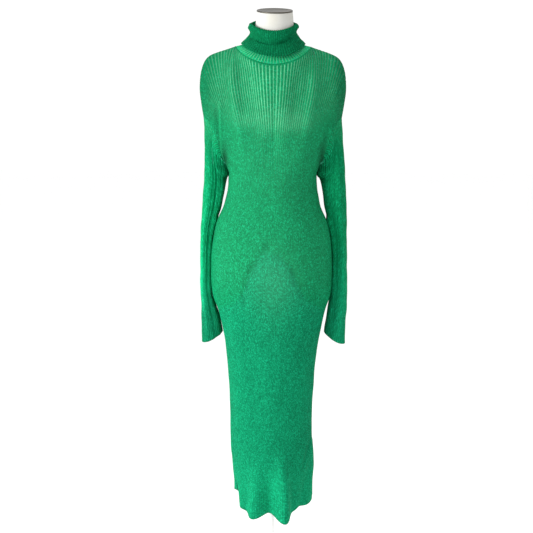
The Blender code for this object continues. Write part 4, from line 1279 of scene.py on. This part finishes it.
class DRESS_OT_stage(bpy.types.Operator):
    """Make the floor, the camera and the studio light"""

    bl_idname = "dress.stage"
    bl_label = "Studio"

    def execute(self, context):
        studio = context.scene.dress_studio
        scene = context.scene
        bm = bmesh.new()
        bmesh.ops.create_grid(bm, x_segments=1, y_segments=1, size=FLOOR_SIZE)
        floor = plain_object("studio_floor", bm)
        n = Nodes("studio_floor")
        dim = opaque(studio.floor_color, (0.985, 0.985, 0.985))
        tone = n.mix(n.noise(n.place(), 1.5, 3.0), opaque(studio.floor_color), dim)
        floor.data.materials.append(n.finish(Base_Color=tone, Roughness=0.9))

        data = bpy.data.cameras.new("studio_camera")
        data.sensor_width = SENSOR
        data.lens = FOCAL_PIXELS / FRAME_PIXELS * SENSOR
        data.clip_start, data.clip_end = 0.05, 100.0
        camera = linked_object("studio_camera", data)
        camera.location = (CAMERA_X, CAMERA_Y, CAMERA_Z)
        down, roll = math.radians(90 - CAMERA_DOWN), math.radians(CAMERA_ROLL)
        turn = Matrix.Rotation(down, 4, "X") @ Matrix.Rotation(roll, 4, "Z")
        camera.rotation_euler = turn.to_euler()
        scene.camera = camera

        scene.view_settings.view_transform = "Standard"
        for name, power, size, spot, aim in (
            ("key_light", studio.key_power, KEY_SIZE, KEY_AT, KEY_AIM),
            ("fill_light", studio.fill_power, FILL_SIZE, FILL_AT, FILL_AIM),
        ):
            lamp = bpy.data.lights.new(name, "AREA")
            lamp.shape = "DISK"
            lamp.size = size
            lamp.energy = power
            light = linked_object(name, lamp)
            light.location = spot
            back = Vector(spot) - Vector(aim)
            light.rotation_euler = back.to_track_quat("Z", "Y").to_euler()

        world = bpy.data.worlds.new("studio_room")
        world.use_nodes = True
        shade = world.node_tree.nodes["Background"]
        shade.inputs["Color"].default_value = (1.0, 1.0, 1.0, 1.0)
        shade.inputs["Strength"].default_value = studio.world_strength
        scene.world = world
        return {"FINISHED"}


class DRESS_OT_panels(bpy.types.Operator):
    """Knit the front and back panels, with their flutes, slit and creases"""

    bl_idname = "dress.panels"
    bl_label = "Front and back"

    def execute(self, context):
        knit = context.scene.dress_knit
        materials = (knit_material("rib_knit_panels", knit), knit_material("knit_inside", knit, True))
        for name, front, node in (
            ("front_knit", True, "front_panel"),
            ("back_knit", False, "back_panel"),
        ):
            piece = thicken(panel(name, front, knit), -1.0)
            dress_piece(piece, materials, node)
        return {"FINISHED"}


class DRESS_OT_sleeves(bpy.types.Operator):
    """Knit both sleeves, with their lengthwise folds and slanted cuffs"""

    bl_idname = "dress.sleeves"
    bl_label = "Sleeves"

    def execute(self, context):
        knit = context.scene.dress_knit
        materials = (knit_material("rib_knit_sleeves", knit), knit_material("sleeve_inside", knit, True))
        right = (-1.0, SLEEVE_RIGHT, SLEEVE_RIGHT_FOLDS, CUFF_TILT_RIGHT)
        left = (1.0, SLEEVE_LEFT, SLEEVE_LEFT_FOLDS, CUFF_TILT_LEFT)
        for side, cut in (("right", right), ("left", left)):
            piece = thicken(sleeve(side + "_sleeve_knit", *cut, knit), -1.0)
            dress_piece(piece, materials, "sleeve_" + side)
        return {"FINISHED"}


class DRESS_OT_turtleneck(bpy.types.Operator):
    """Knit the neckband and the turned-over turtleneck as one tube"""

    bl_idname = "dress.turtleneck"
    bl_label = "Turtleneck"

    def execute(self, context):
        knit = context.scene.dress_knit
        materials = (knit_material("rib_knit_collar", knit), knit_material("collar_inside", knit))
        piece = thicken(turtleneck("turtleneck_knit", knit), 0.0)
        dress_piece(piece, materials, "turtleneck")
        return {"FINISHED"}


class DRESS_OT_form(bpy.types.Operator):
    """Make the padded torso with its jersey cover and the metal neck cap"""

    bl_idname = "dress.form"
    bl_label = "Dress form"

    def execute(self, context):
        stand = context.scene.dress_stand
        points = form_rings()
        blank = np.zeros(points.shape[:2])
        torso = grid_object("form_jersey", points, blank, arc_length(points), {}, True)
        dress_piece(torso, (cover_material("form_jersey", stand.cover_color),), "form_torso")

        radius = (CAP_HIGH.x - CAP_LOW.x) / 2
        profile = [(0.0, 0.0), *((radius - inset, z) for inset, z in CAP_EDGE)]
        profile += [(CAP_DISH_RADIUS, CAP_DISH_Z), (0.0, CAP_DISH_Z)]
        cap = spun("neck_cap_plate", profile, 128)
        seat = FORM_SECTIONS[-1][0] + CAP_GAP
        for vertex in cap.data.vertices:
            vertex.co.z += seat + NECK_TOP_TILT * vertex.co.y
        metal = brushed_material("neck_cap_metal", stand.cap_color)
        dress_piece(cap, (metal,), "form_neck_cap")
        return {"FINISHED"}


class DRESS_OT_stand(bpy.types.Operator):
    """Turn the round base, its hub and the pole"""

    bl_idname = "dress.stand"
    bl_label = "Stand"

    def execute(self, context):
        stand = context.scene.dress_stand
        paint = paint_material("stand_enamel", stand.stand_color)
        radius, hub_top = BASE_HIGH.x, BASE_HIGH.z
        profile = [(0.0, 0.0), *((radius - inset, z) for inset, z in BASE_EDGE), *HUB_FOOT]
        profile += [(hub_radius, hub_top - depth) for hub_radius, depth in HUB_EDGE]
        base = spun("stand_base_plate", profile, 160)
        dress_piece(base, (paint,), "stand_base")
        radius, low, high = POLE_HIGH.x, POLE_LOW.z, POLE_HIGH.z
        flat = radius - POLE_EDGE_IN
        profile = [(0.0, low), (flat, low), (radius, low + POLE_EDGE_HIGH)]
        profile += [(radius, high - POLE_EDGE_HIGH), (flat, high), (0.0, high)]
        pole = spun("stand_pole_tube", profile, 64)
        dress_piece(pole, (paint,), "stand_pole")
        return {"FINISHED"}


class DRESS_PT_panel(bpy.types.Panel):
    """Lists the dress's makers and their settings"""

    bl_idname = "DRESS_PT_panel"
    bl_label = "Sweater Dress"
    bl_space_type = "VIEW_3D"
    bl_region_type = "UI"
    bl_category = "Sweater Dress"

    def draw(self, context):
        layout = self.layout
        for maker in MAKERS:
            layout.operator(maker.bl_idname)
        for group in SETTINGS:
            settings = getattr(context.scene, group)
            box = layout.box()
            for name in settings.__annotations__:
                box.prop(settings, name)


MAKERS = (
    DRESS_OT_stage,
    DRESS_OT_panels,
    DRESS_OT_sleeves,
    DRESS_OT_turtleneck,
    DRESS_OT_form,
    DRESS_OT_stand,
)
SETTINGS = {"dress_knit": KnitSettings, "dress_stand": StandSettings, "dress_studio": StudioSettings}
CLASSES = (*SETTINGS.values(), *MAKERS, DRESS_PT_panel)


def register():
    for each in CLASSES:
        bpy.utils.register_class(each)
    for name, group in SETTINGS.items():
        setattr(bpy.types.Scene, name, bpy.props.PointerProperty(type=group))


def unregister():
    for name in SETTINGS:
        delattr(bpy.types.Scene, name)
    for each in reversed(CLASSES):
        bpy.utils.unregister_class(each)


def main():
    register()
    bpy.ops.dress.stage()
    bpy.ops.dress.panels()
    bpy.ops.dress.sleeves()
    bpy.ops.dress.turtleneck()
    bpy.ops.dress.form()
    bpy.ops.dress.stand()


if __name__ == "__main__":
    main()
